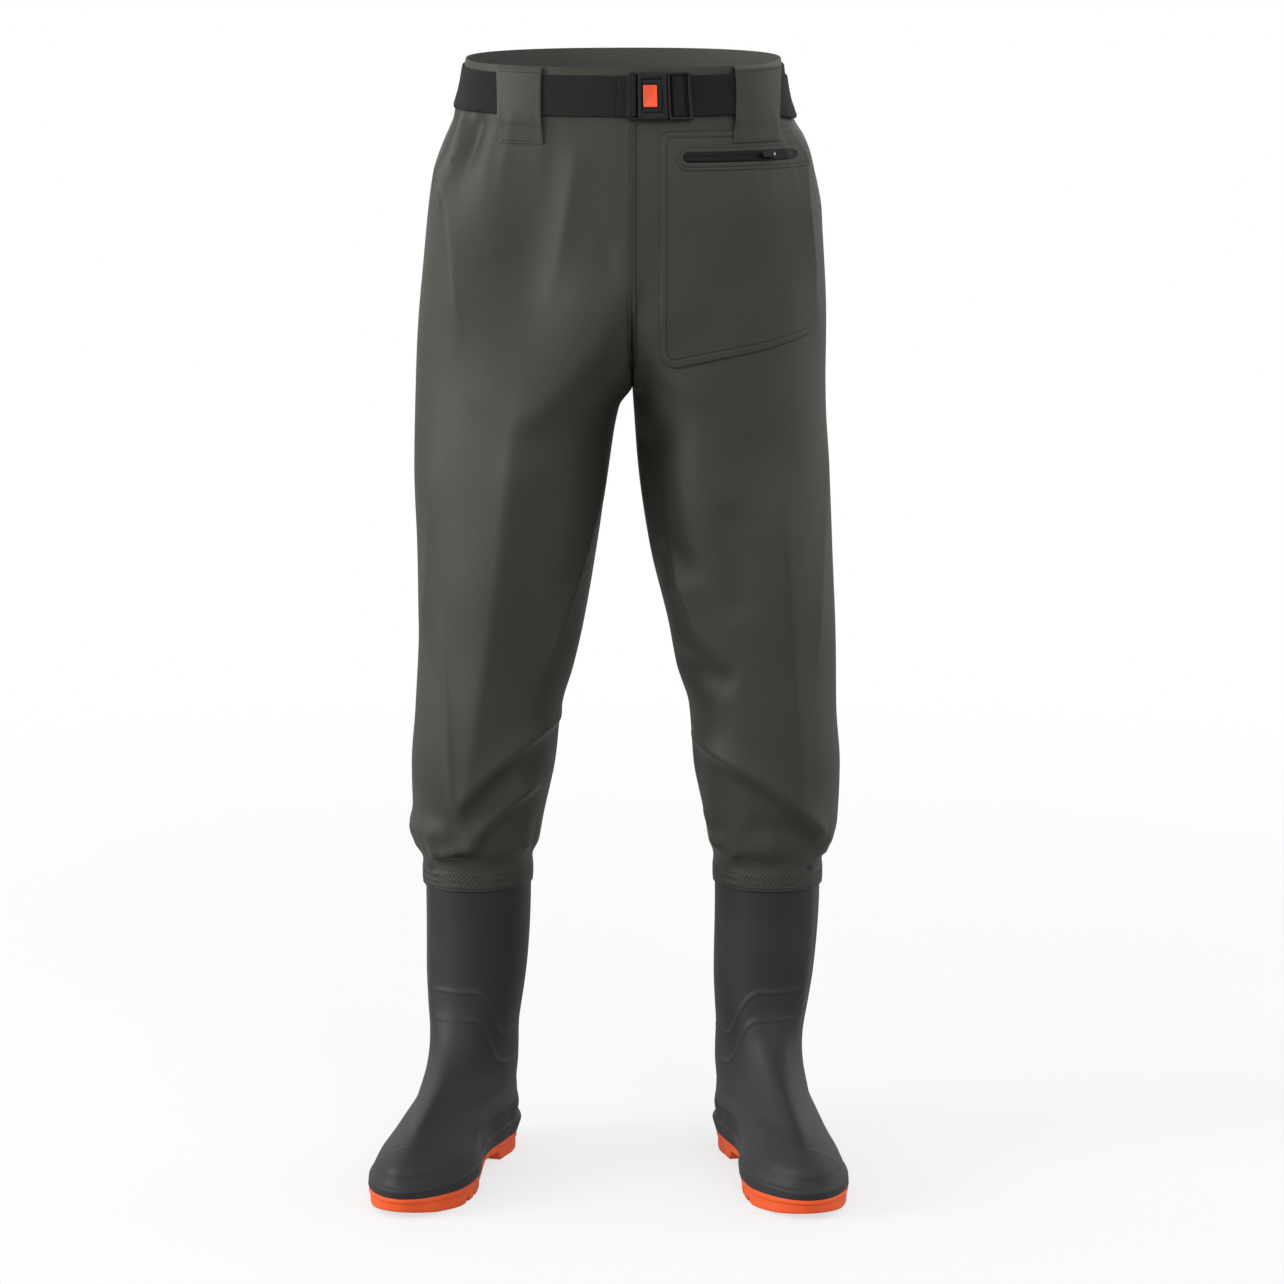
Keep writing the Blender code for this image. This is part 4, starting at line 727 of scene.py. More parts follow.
class Wire:
    """An output of a shader node. Operators on numbers add Math nodes, and node() adds any other node."""

    def __init__(self, tree, socket=None):
        self.tree, self.socket = tree, socket

    def node(self, kind, settings=None, sockets=None, output=0):
        """Adds a node, sets its settings, then fills or links its sockets."""
        made = self.tree.nodes.new(kind)
        for name, value in (settings or {}).items():
            setattr(made, name, value)
        for name, value in (sockets or {}).items():
            if isinstance(value, Wire):
                self.tree.links.new(value.socket, made.inputs[name])
            else:
                made.inputs[name].default_value = value
        return Wire(self.tree, made.outputs[output])

    def maths(self, operation, *values):
        """A Math node on these values."""
        return self.node("ShaderNodeMath", {"operation": operation}, dict(enumerate(values)))

    def __add__(self, other):
        return self.maths("ADD", self, other)

    def __sub__(self, other):
        return self.maths("SUBTRACT", self, other)

    def __rsub__(self, other):
        return self.maths("SUBTRACT", other, self)

    def __mul__(self, other):
        return self.maths("MULTIPLY", self, other)

    __radd__, __rmul__ = __add__, __mul__

    def parts(self):
        """The three numbers of a vector."""
        made = self.node("ShaderNodeSeparateXYZ", {}, {"Vector": self})
        return [Wire(self.tree, socket) for socket in made.socket.node.outputs]

    def noise(self, scale, detail=2.0, roughness=0.5):
        """Noise around 0.5 at this place."""
        return self.node("ShaderNodeTexNoise", {}, {"Vector": self, "Scale": scale, "Detail": detail,
                                                    "Roughness": roughness})

    def sine(self, pitch):
        """A wave between 0 and 1 along this distance."""
        return self.maths("SINE", self * (2 * math.pi / pitch)) * 0.5 + 0.5

    def between(self, low, high):
        """This value's climb from low to high as 0 to 1."""
        return self.node("ShaderNodeMapRange", {"interpolation_type": "SMOOTHSTEP"},
                         {"Value": self, "From Min": low, "From Max": high})

    def mix(self, first, second):
        """A colour between two, each a wire or three numbers, by this value."""
        first, second = (value if isinstance(value, Wire) else (*value, 1) for value in (first, second))
        return self.node("ShaderNodeMix", {"data_type": "RGBA"}, {0: self, 6: first, 7: second}, 2)

    def shade(self, name):
        """A colour between the two tones of a finish, by this value."""
        return self.mix(*TONES[name])


def finish(name, paint, **constants):
    """A material. Paint gets a place in the object's frame and returns colour, roughness, bump, its height
    and, where the surface fades out, alpha."""
    made = bpy.data.materials.new(name)
    made.use_nodes = True
    tree = made.node_tree
    shader = tree.nodes["Principled BSDF"]
    for socket, value in constants.items():
        shader.inputs[socket.replace("_", " ")].default_value = value
    start = Wire(tree)
    place = start.node("ShaderNodeTexCoord", output=3)
    colour, roughness, relief, depth, *rest = paint(place)
    normal = start.node("ShaderNodeBump", {}, {"Height": relief, "Distance": depth, "Strength": 1.0})
    sockets = [("Base Color", colour), ("Roughness", roughness), ("Normal", normal)]
    for socket, value in sockets + [("Alpha", alpha) for alpha in rest]:
        tree.links.new(value.socket, shader.inputs[socket])
    return made


def weave_place(place):
    """Distances along the surface, across and along, from the piece's own map."""
    return place.node("ShaderNodeUVMap", {"uv_map": "weave"}).parts()[:2]


def paint_cloth(place):
    """Coated cloth: fine plain weave under a satin coat, cloudy tone, faint rubbing."""
    across, along = weave_place(place)
    weave = across.sine(WEAVE_PITCH) * along.sine(WEAVE_PITCH)
    cloud, grain = place.noise(7.0, 3.0), place.noise(900.0, 1.0)
    colour = cloud.between(0.3, 0.7).shade("cloth")
    colour = (grain.between(0.35, 0.75) * 0.35).mix(colour, RUBBED_CLOTH)
    roughness = 0.46 + 0.10 * cloud + 0.06 * grain
    return colour, roughness, weave * 0.6 + grain * 0.6, 0.00012


def paint_pocket(place):
    """The coated cloth with painted shade: dark lines in the pressed grooves and on the edge steps, at set
    distances from the pocket's and the patch's edges.
    """
    colour, roughness, relief, depth = paint_cloth(place)
    inside, patch = place.node("ShaderNodeUVMap", {"uv_map": "edges"}).parts()[:2]
    # Painted shade: thin dark lines where the weld grooves and the edge steps lie
    for distance, lines in ((inside, POCKET_LINES), (patch, PATCH_LINES)):
        for line in lines:
            off = distance.maths("ABSOLUTE", distance - line)
            colour = (LINE_DARK - LINE_DARK * off.between(*LINE_EDGE)).mix(colour, POCKET_GROOVE_SHADE)
    return colour, roughness, relief, depth


def paint_lining(place):
    """Brushed inner face of the cloth."""
    fuzz = place.noise(700.0, 3.0)
    return fuzz.shade("lining"), fuzz * 0.1 + 0.8, fuzz, 0.0003


def paint_weld(place):
    """Heat-pressed cloth of the welds: the cloth's colour, with painted shade in the low parts of the knurl
    and the chevrons.
    """
    raised, _ = weave_place(place)
    cloud, grain = place.noise(60.0, 3.0), place.noise(1100.0, 1.0)
    # Painted shade: the weld darkens where its relief mark is low
    colour = raised.between(0.1, 0.9).mix(WELD_HOLLOW_SHADE, cloud.between(0.3, 0.7).shade("weld"))
    return colour, 0.46 + 0.14 * cloud, grain, 0.0001


def paint_webbing(place):
    """Woven webbing: ribs across its length, broken by the warp, coloured by their height as painted shade:
    dark between the ribs, lighter on their tops.
    """
    across, along = weave_place(place)
    ribs, warp = along.sine(RIB_PITCH), across.sine(WARP_PITCH)
    fuzz = place.noise(1500.0, 2.0)
    height = ribs * 0.7 + ribs * warp * 0.5 + fuzz * 0.3
    # Painted shade: the colour follows the ribs' height
    return height.between(0.2, 1.3).shade("webbing"), 0.62 + 0.20 * fuzz, height, 0.0004


def paint_rubber(place):
    """Moulded PVC: matte black with a fine orange-peel surface and soft dusty patches."""
    cloud, peel = place.noise(11.0, 4.0), place.noise(1600.0, 2.0)
    return cloud.between(0.35, 0.75).shade("rubber"), 0.52 + 0.12 * cloud + 0.04 * peel, peel, 0.00006


def paint_sole(place):
    """Orange PVC of the outsole: fine moulded grain, a little paler where it is rubbed."""
    cloud, grain = place.noise(24.0, 3.0), place.noise(620.0, 2.0)
    return cloud.between(0.3, 0.8).shade("sole"), 0.50 + 0.15 * cloud, grain, 0.00035


def paint_plastic(place):
    """Moulded black plastic with a fine spark-eroded grain."""
    grain = place.noise(2600.0, 2.0)
    return grain.shade("plastic"), grain * 0.12 + 0.38, grain, 0.00004


def paint_button(place):
    """Moulded orange plastic."""
    grain = place.noise(1800.0, 2.0)
    return grain.shade("button"), grain * 0.1 + 0.36, grain, 0.00004


def paint_zip(place):
    """Coated zip tape: smooth black film with a faint coil showing through."""
    _, along = weave_place(place)
    film = place.noise(900.0, 2.0)
    return film.shade("zip"), film * 0.16 + 0.38, along.sine(COIL_PITCH), 0.00005


def paint_metal(place):
    """Dark cast metal with a worn, brighter tone."""
    wear = place.noise(900.0, 3.0)
    return wear.between(0.4, 0.7).shade("metal"), 0.25 + 0.2 * wear, wear, 0.00004


def paint_highlight_metal(place):
    """Painted highlight: pale polished metal for the bright spot on the slider's bridge."""
    wear = place.noise(700.0, 3.0)
    return wear.shade("highlight_metal"), 0.12 + 0.15 * wear, wear, 0.00003


def paint_felt(place):
    """Pressed felt: short tangled fibres."""
    fibres = place.noise(1200.0, 4.0, 0.7)
    return fibres.shade("felt"), fibres * 0.1 + 0.85, fibres, 0.0006


def paint_thread(place):
    """Twisted thread."""
    twist = place.noise(3000.0, 2.0)
    return twist.shade("thread"), twist * 0.2 + 0.5, twist, 0.0001


def paint_floor(place):
    """Plain pale studio floor that fades into the white backdrop."""
    cloud = place.noise(1.5, 2.0)
    far = place.node("ShaderNodeVectorMath", {"operation": "LENGTH"}, {0: place}, 1)
    near = 1 - far.between(0.25 * FLOOR_REACH, 0.9 * FLOOR_REACH)
    return cloud.shade("floor"), cloud * 0.1 + 0.7, cloud, 0.0001, FLOOR_SHOWS * near


cloth = finish("coated_cloth", paint_cloth, Specular_IOR_Level=0.3)
pocket_cloth = finish("pocket_cloth", paint_pocket, Specular_IOR_Level=0.3)
lining = finish("brushed_lining", paint_lining)
weld = finish("pressed_weld", paint_weld, Specular_IOR_Level=0.3)
webbing = finish("webbing", paint_webbing, Specular_IOR_Level=0.2)
rubber = finish("boot_rubber", paint_rubber, Specular_IOR_Level=0.34)
sole_rubber = finish("sole_rubber", paint_sole, Specular_IOR_Level=0.3)
plastic = finish("buckle_plastic", paint_plastic, Specular_IOR_Level=0.2)
orange_plastic = finish("orange_plastic", paint_button, Specular_IOR_Level=0.3)
zip_film = finish("zip_film", paint_zip, Specular_IOR_Level=0.15)
metal = finish("slider_metal", paint_metal, Metallic=1.0)
# The pale metal is a painted highlight on the slider
highlight_metal = finish("highlight_metal", paint_highlight_metal, Metallic=1.0)
felt = finish("insole_felt", paint_felt)
thread = finish("thread", paint_thread)
floor_paint = finish("floor", paint_floor)


# Trousers

def make_trousers():
    """Both legs as one wall: the folded cloth outside, and the same surface a wall's thickness in."""
    heights = np.linspace(HEM_HEIGHT, WAIST_HEIGHT, LEG_ROWS)[:, None]
    arounds = np.linspace(-1, 1, LEG_COLUMNS)
    outer = [wrap(side, arounds, heights) for side in (RIGHT, LEFT)]
    inner = [wrap(side, arounds[::2], heights[::2], -CLOTH_WALL) for side in (RIGHT, LEFT)]
    shell("wader_trousers", outer, inner, False, cloth, lining,
          ["trouser_half_right", "trouser_half_left"])


def make_seam(name, back, low, high):
    """Welded strip over the centre seam: the product of two crossed waves pressed into it as a knurl."""
    row_step, columns, marks = 0.00045, 25, np.linspace(low, high, 24)
    heights = np.linspace(low, high, int((high - low) / row_step))[:, None]
    share = np.linspace(-1, 1, columns)[None, :]
    seam = 2.0 if back else 0.0
    edges = [[abs(seam - abs(float(turn_at(side * STRIP_HALF, mark, back)))) for mark in marks]
             for side in (RIGHT, LEFT)]
    right, left = (np.interp(heights, marks, edge) for edge in edges)
    turn = seam + share * np.where((share < 0) != back, right, left)
    u, v, wave = share * STRIP_HALF, heights, 2 * math.pi / KNURL_PITCH
    knurl = np.cos(wave * (u + v)) * np.cos(wave * (u - v))
    inside = 1 - np.abs(share)
    pressed = ease(knurl, -0.35, 0.30) * ease(inside, 0.0, 0.2)
    body = ease(inside, 0.0, 0.16) * ease(heights, low, low + STRIP_START)
    lift = STRIP_LAY + STRIP_THICK * body * (STRIP_GROUND + STRIP_RAISED * pressed)
    turn, heights = same_shape(turn, heights)
    under, over = waist(turn, heights, -SUNK), waist(turn, heights, lift)
    # The knurl's mark also paints shade into its low parts, in the weld's finish
    slab(name, under, over, weld, [name], pressed)


def make_hem(side):
    """Ankle weld: a band of pressed chevrons, a wave whose phase zigzags up it, and a bead below."""
    name = SIDE_NAMES[side]
    low, high = HEM_HEIGHT + 0.0012, HEM_WELD_TOP - 0.0005
    heights, arounds = np.linspace(low, high, 46)[:, None], np.linspace(-1, 1, 521)[None, :]
    v = (heights - low) / (high - low)
    zigzag = np.abs((v * CHEVRON_BANDS) % 1 - 0.5) * 2
    wave = np.sin(2 * math.pi * (arounds * CHEVRONS + CHEVRON_SLANT * zigzag))
    border = ease(v, 0.0, 0.09) * ease(1 - v, 0.0, 0.35)
    pressed = ease(wave, -0.92, -0.45)
    lift = BAND_LAY + border * (BAND_THICK + CHEVRON_HIGH * pressed)
    # The chevrons' mark also paints shade into their low parts, in the weld's finish
    slab("hem_weld_" + name, wrap(side, arounds, heights, -SUNK), wrap(side, arounds, heights, lift),
         weld, mark=pressed)

    turn = np.linspace(0, 2 * math.pi, 16, endpoint=False)[None, :]
    around = np.linspace(-1, 1, 241)[:-1, None]
    bead = wrap(side, around, HEM_HEIGHT - BEAD_DROP + BEAD_RADIUS * np.sin(turn),
                BEAD_RADIUS * np.cos(turn) - BEAD_SUNK)
    closed = np.concatenate([bead, bead[:1]])
    add_piece("hem_bead_" + name, closed, tube(closed, ends=False), rubber)


def pocket_edges(beside, below, above):
    """Distance in from the pocket's inner, lower and upper edges, its corners rounded by arcs."""
    ends = np.minimum(below, above)
    corner = np.where(below < above, POCKET_LOW_CORNER, POCKET_TOP_CORNER)
    arc = corner - np.hypot(corner - beside, corner - ends)
    return np.where((beside < corner) & (ends < corner), arc, np.minimum(beside, ends))


def patch_edges(from_seam, height):
    """Distance in from the edge of the patch that holds the zip, which has one round end."""
    beside, ends = from_seam - PATCH_INNER_EDGE, np.minimum(PATCH_TOP - height, height - PATCH_BOTTOM)
    radius = (PATCH_TOP - PATCH_BOTTOM) / 2
    return np.where(beside < radius, radius - np.hypot(radius - beside, radius - ends), ends)


def make_pocket():
    """Pocket panel: the cloth lifted by its thickness, with lines pressed in along its edges."""
    rows, columns, samples = 240, 170, np.linspace(-1, 0, ROW_SAMPLES)
    v, share = np.linspace(0, 1, rows)[:, None], np.linspace(0, 1, columns)[None, :]
    bottom = POCKET_BOTTOM + POCKET_RISE * share
    height = bottom + (POCKET_TOP - bottom) * v
    below, above = height - bottom, POCKET_TOP - height
    ends = np.minimum(below, above)[:, :1]
    corner = np.where(below < above, POCKET_LOW_CORNER, POCKET_TOP_CORNER)[:, :1]
    cut = corner - np.sqrt(corner ** 2 - np.maximum(corner - ends, 0) ** 2)
    edge = np.empty((rows, 1))
    for row in range(rows):
        out = drape(LEFT, samples, height[row, 0])[:, 0] - SEAM_X
        edge[row] = np.interp(POCKET_INNER_EDGE + cut[row, 0], out, samples)
    around = edge + (POCKET_SIDE_EDGE - edge) * share
    from_seam = drape(LEFT, around, height)[..., 0] - SEAM_X
    inside = pocket_edges(from_seam - POCKET_INNER_EDGE, below, above)
    patch = patch_edges(from_seam, height)
    on_weld = inside - POCKET_WELD
    lift = POCKET_LAY + POCKET_THICKNESS * ease(inside, -0.0002, 0.0014)
    lift = lift - WELD_DEEP * bump(on_weld, WELD_WIDE) + bell(on_weld, *WELD_SWELL)
    lift = lift + PATCH_HIGH * (ease(patch, -0.0004, 0.0012) - bump(patch - PATCH_WELD, WELD_WIDE))
    lift = lift - ZIP_SUNK * ease(patch - PATCH_TO_ZIP, -0.0006, 0.0006)
    slab("pocket_panel", wrap(LEFT, around, height, -GAP), wrap(LEFT, around, height, lift),
         pocket_cloth, ["pocket"], edges=np.stack([inside, patch], axis=-1))


# Belt and loops

def belt_middle(turn, drop):
    """Height of the belt's middle line: level in front, a little higher behind."""
    depth = waist(turn, BELT_HEIGHT, 0.0)[..., 1] - PLUMB_Y - TROUSERS["front"][-2]
    return BELT_HEIGHT + (BELT_LEAN - WAIST_LEAN) * depth - drop


def ribbon_profile(width, thickness):
    """A flat section with round edges: offsets across and off the surface, once round."""
    half, round_off = width / 2, thickness / 2
    flat = np.linspace(-1, 1, FLAT_POINTS) * (half - round_off)
    arc = np.linspace(-math.pi / 2, math.pi / 2, 7)[1:-1]
    across = np.concatenate([flat, half - round_off + round_off * np.cos(arc),
                             flat[::-1], -(half - round_off) - round_off * np.cos(arc)])
    off = np.concatenate([np.full(FLAT_POINTS, 0.0), round_off + round_off * np.sin(arc),
                          np.full(FLAT_POINTS, thickness), round_off - round_off * np.sin(arc)])
    return across, off


def make_strap(name, node, turns, lifts, drops, thickness):
    """Webbing: a flat section carried round the waist along turns, at a lift and drop of each."""
    across, off = ribbon_profile(BELT_WIDTH, thickness)
    height = belt_middle(turns, drops)[:, None] + across[None, :]
    points = waist(np.broadcast_to(turns[:, None], height.shape), height, lifts[:, None] + off[None, :])
    line = points[:, FLAT_POINTS // 2]
    along = np.linalg.norm(np.diff(line, axis=0, prepend=line[:1]), axis=-1).cumsum()
    weave = np.stack(np.broadcast_arrays(across[None, :] + WEAVE_START, along[:, None]), axis=-1)
    add_piece(name, points, tube(points), webbing, [node], maps={"weave": weave})


def make_belt():
    """The belt round the back, its sewn end over the socket's bar and its tail over the tongue's bar."""
    start, end = (turn_at(BUCKLE_FROM_SEAM + place) for place in BELT_ENDS)
    turns = np.linspace(start, end - 4, 520)
    level = np.zeros(len(turns))
    make_strap("webbing_belt", "belt", turns, level + BELT_LIFT, level, WEBBING)

    along = np.linspace(END_WRAP["along"][0], END_WRAP["along"][-1], 60)
    make_strap("webbing_sewn_end", "belt_sewn_end", turn_at(BUCKLE_FROM_SEAM + along),
               smooth(END_WRAP, "lift", along), np.zeros(len(along)), FOLDED_WEBBING)

    along = np.linspace(TAIL_WRAP["along"][0], TAIL_WRAP["along"][-1], 70)
    near = turn_at(BUCKLE_FROM_SEAM + along)
    far = np.linspace(near[-1], 1 + TAIL_END, 160)[1:]
    turns = np.concatenate([near, far])
    lifts = np.concatenate([smooth(TAIL_WRAP, "lift", along), np.full(len(far), BAR_LOW)])
    drops = TAIL_DROP * ease(turns - 1, *TAIL_SAG)
    make_strap("webbing_tail", "belt_tail", turns, lifts, drops, FOLDED_WEBBING)

    rows = []
    across = np.linspace(-BELT_STITCH_REACH, BELT_STITCH_REACH, 60)
    for place in BELT_STITCHES:
        turn = np.full(len(across), float(turn_at(BUCKLE_FROM_SEAM + place)))
        top = BAR_LOW + FOLDED_WEBBING
        rows.append(stitch_line(lambda lift: waist(turn, BELT_HEIGHT + across, lift), top))
    add_stitches("belt_stitches", rows)


def make_loop(place, side, from_seam, back, foot_lift, stand_off):
    """Belt loop: a flat section with a low ridge inside each edge, carried down over the belt."""
    drops = np.concatenate([np.linspace(a, b, 9)[:-1] for a, b in zip(LOOP["drop"], LOOP["drop"][1:])])
    drops = np.append(drops, LOOP["drop"][-1])
    heights = WAIST_HEIGHT - drops
    ground = np.interp(heights, [heights[-1], heights[0]], [foot_lift, LOOP_LAY])
    lifts = ground + smooth(LOOP, "stand", drops) * (stand_off - ground)
    across, off = ribbon_profile(2 * LOOP_HALF_WIDTH, LOOP_THICKNESS)
    waisted = 1 - LOOP_WAISTED * np.sin(math.pi * (drops - drops[0]) / (drops[-1] - drops[0]))
    reach = from_seam + waisted[:, None] * across[None, :]
    inside = LOOP_HALF_WIDTH - np.abs(across)
    ridge = np.where(off > LOOP_THICKNESS * 0.9, bell(inside, *LOOP_RIDGE), 0.0)
    turn = np.abs(np.stack([turn_at(side * row, height, back) for row, height in zip(reach, heights)]))
    points = wrap(side, turn - 1, heights[:, None], lifts[:, None] + off + ridge)
    weave = np.stack(np.broadcast_arrays(across + LOOP_WEAVE_START, drops[:, None]), axis=-1)
    add_piece("cloth_loop_" + place, points, tube(points), cloth, ["belt_loop_" + place],
              maps={"weave": weave})

    rows = []
    line = from_seam + np.linspace(-LOOP_STITCH_REACH, LOOP_STITCH_REACH, 50) * LOOP_HALF_WIDTH
    for drop in LOOP_STITCHES:
        height = WAIST_HEIGHT - drop
        turn = np.abs(turn_at(line * side, height, back))
        top = np.interp(drop, drops, lifts) + LOOP_THICKNESS
        rows.append(stitch_line(lambda lift: wrap(side, turn - 1, height, lift), top))
    add_stitches("loop_stitches_" + place, rows)


# Buckle

def on_buckle(along, up, lift):
    """A point of the buckle: along the belt and up it from the buckle's middle, and off the cloth."""
    along, up, lift = same_shape(along, up, lift)
    return waist(turn_at(BUCKLE_FROM_SEAM + along), BELT_HEIGHT + up, lift)


def rounded_outline(box, corner, arc=8, run=16):
    """Points round a rectangle with round corners: quarter arcs, each followed by a straight run."""
    x0, x1, z0, z1 = box
    centres = np.array([(x1 - corner, z1 - corner), (x0 + corner, z1 - corner),
                        (x0 + corner, z0 + corner), (x1 - corner, z0 + corner)])
    turn = np.arange(4)[:, None] * math.pi / 2 + np.linspace(0, math.pi / 2, arc)[None, :]
    arcs = centres[:, None] + corner * np.stack([np.cos(turn), np.sin(turn)], axis=-1)
    share = np.linspace(0, 1, run + 2)[None, 1:-1, None]
    runs = arcs[:, -1:] + share * (np.roll(arcs, -1, axis=0)[:, :1] - arcs[:, -1:])
    return np.concatenate([arcs, runs], axis=1).reshape(-1, 2)


def make_frame(name, outer, inner, corners, low, high, stands_for=(), rim=0.0007):
    """A plastic frame: a section with rounded rims carried round between two rounded rectangles."""
    out_line, in_line = rounded_outline(outer, corners[0]), rounded_outline(inner, corners[1])
    wide = np.linalg.norm(out_line - in_line, axis=-1).min()
    r = min(rim, wide * 0.35) / wide
    arc = np.linspace(0, math.pi / 2, 5)
    share = np.concatenate([[0, 1], 1 - r + r * np.cos(arc), r - r * np.sin(arc)])
    lift = np.concatenate([[low, low], high - rim + rim * np.sin(arc), high - rim + rim * np.cos(arc)])
    flat = in_line[:, None] + (out_line - in_line)[:, None] * share[None, :, None]
    points = on_buckle(flat[..., 0], flat[..., 1], lift[None, :])
    points = np.concatenate([points, points[:1]])
    add_piece(name, points, tube(points, ends=False), plastic, stands_for)


def make_plate(name, box, corner, low, high, place, finish_used, stands_for=(), body="wader", dish=0.0,
               rim=0.0005):
    """A plate: rings drawn in from a rounded rectangle, with a rounded rim and a dished or domed middle."""
    line = rounded_outline(box, corner)
    low_corner, high_corner = np.array(box[::2]), np.array(box[1::2])
    centre = (low_corner + high_corner) / 2
    small = (high_corner - low_corner).min() / 2
    arc = np.linspace(0, math.pi / 2, 5)
    inset = np.concatenate([[0.0], rim - rim * np.cos(arc), np.linspace(rim, small * 0.9, 8)[1:]])
    share = 1 - inset / small
    lift = np.concatenate([[low], high - rim + rim * np.sin(arc), np.full(7, high)])
    flat = centre + (line - centre)[None, :, :] * share[:, None, None]
    from_middle = (flat - centre) / (high_corner - centre - rim)
    bowl = np.prod(np.maximum(1 - from_middle ** 2, 0), axis=-1)
    points = place(flat[..., 0], flat[..., 1], lift[:, None] + dish * bowl)
    add_piece(name, points, tube(points), finish_used, stands_for, body)


def make_buckle():
    """Snap buckle: socket housing with a recess and its bar, the tongue with its bar, and the button."""
    tall, arm = BUCKLE_HALF_TALL, BELT_WIDTH / 2 + GAP
    make_frame("buckle_housing", outer=(-0.0200, 0.0060, -tall, tall),
               inner=(-0.0171, 0.0018, -0.0157, 0.0157), corners=(0.0022, 0.0010), low=BAR_LOW,
               high=HOUSING_HIGH, stands_for=["buckle_socket"])
    make_frame("buckle_recess_rim", outer=(-0.0172, 0.0019, -0.0158, 0.0158),
               inner=(-0.0158, -0.0026, -0.0106, 0.0106), corners=(0.0010, 0.0012), low=BAR_LOW,
               high=HOUSING_HIGH - 0.0018, rim=0.0004)
    make_frame("buckle_socket_bar", outer=(-0.0286, -0.0196, -tall, tall),
               inner=(-0.0240, -0.0199, -arm, arm), corners=(0.0016, 0.0004), low=BAR_LOW + 0.0001,
               high=BAR_HIGH, rim=0.0006)
    make_frame("buckle_tongue_frame", outer=(0.0063, BUCKLE_HALF_WIDTH, -tall, tall),
               inner=(0.0094, 0.0254, -arm, arm), corners=(0.0030, 0.0008), low=BAR_HIGH - 0.0002,
               high=FRAME_HIGH, stands_for=["buckle_tongue"], rim=0.0009)
    make_plate("buckle_tongue_bar", box=(0.0146, 0.0205, 0.0006 - tall, tall - 0.0006), corner=0.0010,
               low=BAR_LOW + 0.0002, high=BAR_HIGH, place=on_buckle, finish_used=plastic)
    make_plate("buckle_release", box=(-0.0154, -0.0030, -0.0102, 0.0102), corner=0.0010, low=BAR_LOW,
               high=BUTTON_HIGH, place=on_buckle, finish_used=orange_plastic,
               stands_for=["buckle_button"], dish=-0.0011)


# Zip

def make_zip_tape():
    """Zip tape: a strip with round ends and a groove along its middle."""
    lay = POCKET_LAY + POCKET_THICKNESS + GAP
    length, half = ZIP_TO - ZIP_FROM, ZIP_TALL / 2
    t, across = np.linspace(0, 1, 240)[:, None], np.linspace(-1, 1, 17)[None, :]
    from_end = np.minimum(t, 1 - t) * length
    wide = np.sqrt(np.maximum(1 - np.maximum(1 - from_end / half, 0) ** 2, 0.02))
    height = ZIP_HEIGHT + half * across * wide
    around = turn_at(ZIP_FROM + t * length, ZIP_HEIGHT) - 1
    lift = lay + ZIP_THICK * ease(1 - np.abs(across), 0.0, 0.25) - ZIP_GROOVE * bump(across * half, 0.0006)
    around, height, lift = same_shape(around, height, lift)
    slab("zip_strip", wrap(LEFT, around, height, lay - SUNK), wrap(LEFT, around, height, lift),
         zip_film, ["zip_tape"])


def make_zip_slider():
    """Slider, its bridge as a pale plate that paints the slider's highlight, and the pull with its eye:
    plates in the hinge's own frame, off the tape.
    """
    slider_low, slider_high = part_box("zip_slider")
    hinge = next(joint for joint in frame["joints"] if joint["name"] == "zip_pull_hinge")
    pivot, up = np.array(hinge["pos_m"]), np.array(hinge["axis"])
    middle = (np.array(slider_low) + np.array(slider_high)) / 2
    off = (pivot - middle) / np.linalg.norm(pivot - middle)
    along = np.cross(up, off)

    def on_slider(x, z, lift):
        """A point along the zip, up it and off it, from the pull's hinge."""
        return pivot + x[..., None] * along + z[..., None] * up + lift[..., None] * off

    make_plate("slider_body", box=(-0.00425, 0.00425, -0.0040, 0.0040), corner=0.0016,
               low=SLIDER_TOP - 0.0028, high=SLIDER_TOP - 0.0006, place=on_slider, finish_used=metal,
               stands_for=["zip_slider"], rim=0.0008)
    # A pale metal plate on the slider: a painted highlight
    make_plate("slider_highlight_bridge", box=(-0.0034, 0.0034, -0.0013, 0.0013), corner=0.0010,
               low=SLIDER_TOP - 0.0008, high=SLIDER_TOP + 0.0002, place=on_slider,
               finish_used=highlight_metal, rim=0.0006)
    make_plate("pull_tab", box=(-0.0130, 0.0004, -0.0028, 0.0028), corner=0.0012, low=-0.0006, high=0.0007,
               place=on_slider, finish_used=plastic, stands_for=["zip_pull"],
               body="zip_pull", rim=0.0004)
    make_plate("pull_eye", box=(-0.0032, -0.0007, -0.0016, 0.0016), corner=0.0010, low=0.0003, high=0.0010,
               place=on_slider, finish_used=metal, body="zip_pull", rim=0.0004)


# Boots

def boot_relief(angle, station, across, height, level):
    """Moulded relief: two S-shaped ribs, a stepped toe cap, a groove over the bead and a soft shaft edge."""
    turned = np.degrees((angle + math.pi) % (2 * math.pi) - math.pi)
    relief = np.zeros(np.broadcast(angle, height).shape)
    on_ribs = span(turned, RIBS_START, RIBS_STOP)
    for high, low, first, last in RIBS:
        line = high + (low - high) * ease(-turned, first, last)
        slope = (low - high) * (ease(1 - turned, first, last) - ease(-turned, first, last))
        slope = slope / (SHIN_RADIUS * math.radians(1))
        off = (height - line) / np.sqrt(1 + slope * slope)
        step = span(-off, (-0.0005, 0.0015), (0.004, 0.016))
        relief = relief + on_ribs * (RIB_HIGH * bump(off, RIB_WIDE) + RIB_STEP * step)
    cap = station - (CAP_STATION - CAP_BOW * (across / CAP_HALF) ** 2)
    step, lip = CAP_STEP * ease(cap, -CAP_EDGE, CAP_EDGE), CAP_LIP * bump(cap, CAP_LIP_WIDE)
    relief = relief + ease(height, *CAP_RISE) * (step + lip)
    edge = bell(turned, *SHAFT_EDGE) + bell(turned, *SHAFT_HOLLOW)
    return relief - bell(level, *BEAD_GROOVE) + edge * ease(height, *SHAFT_EDGE_RISE)


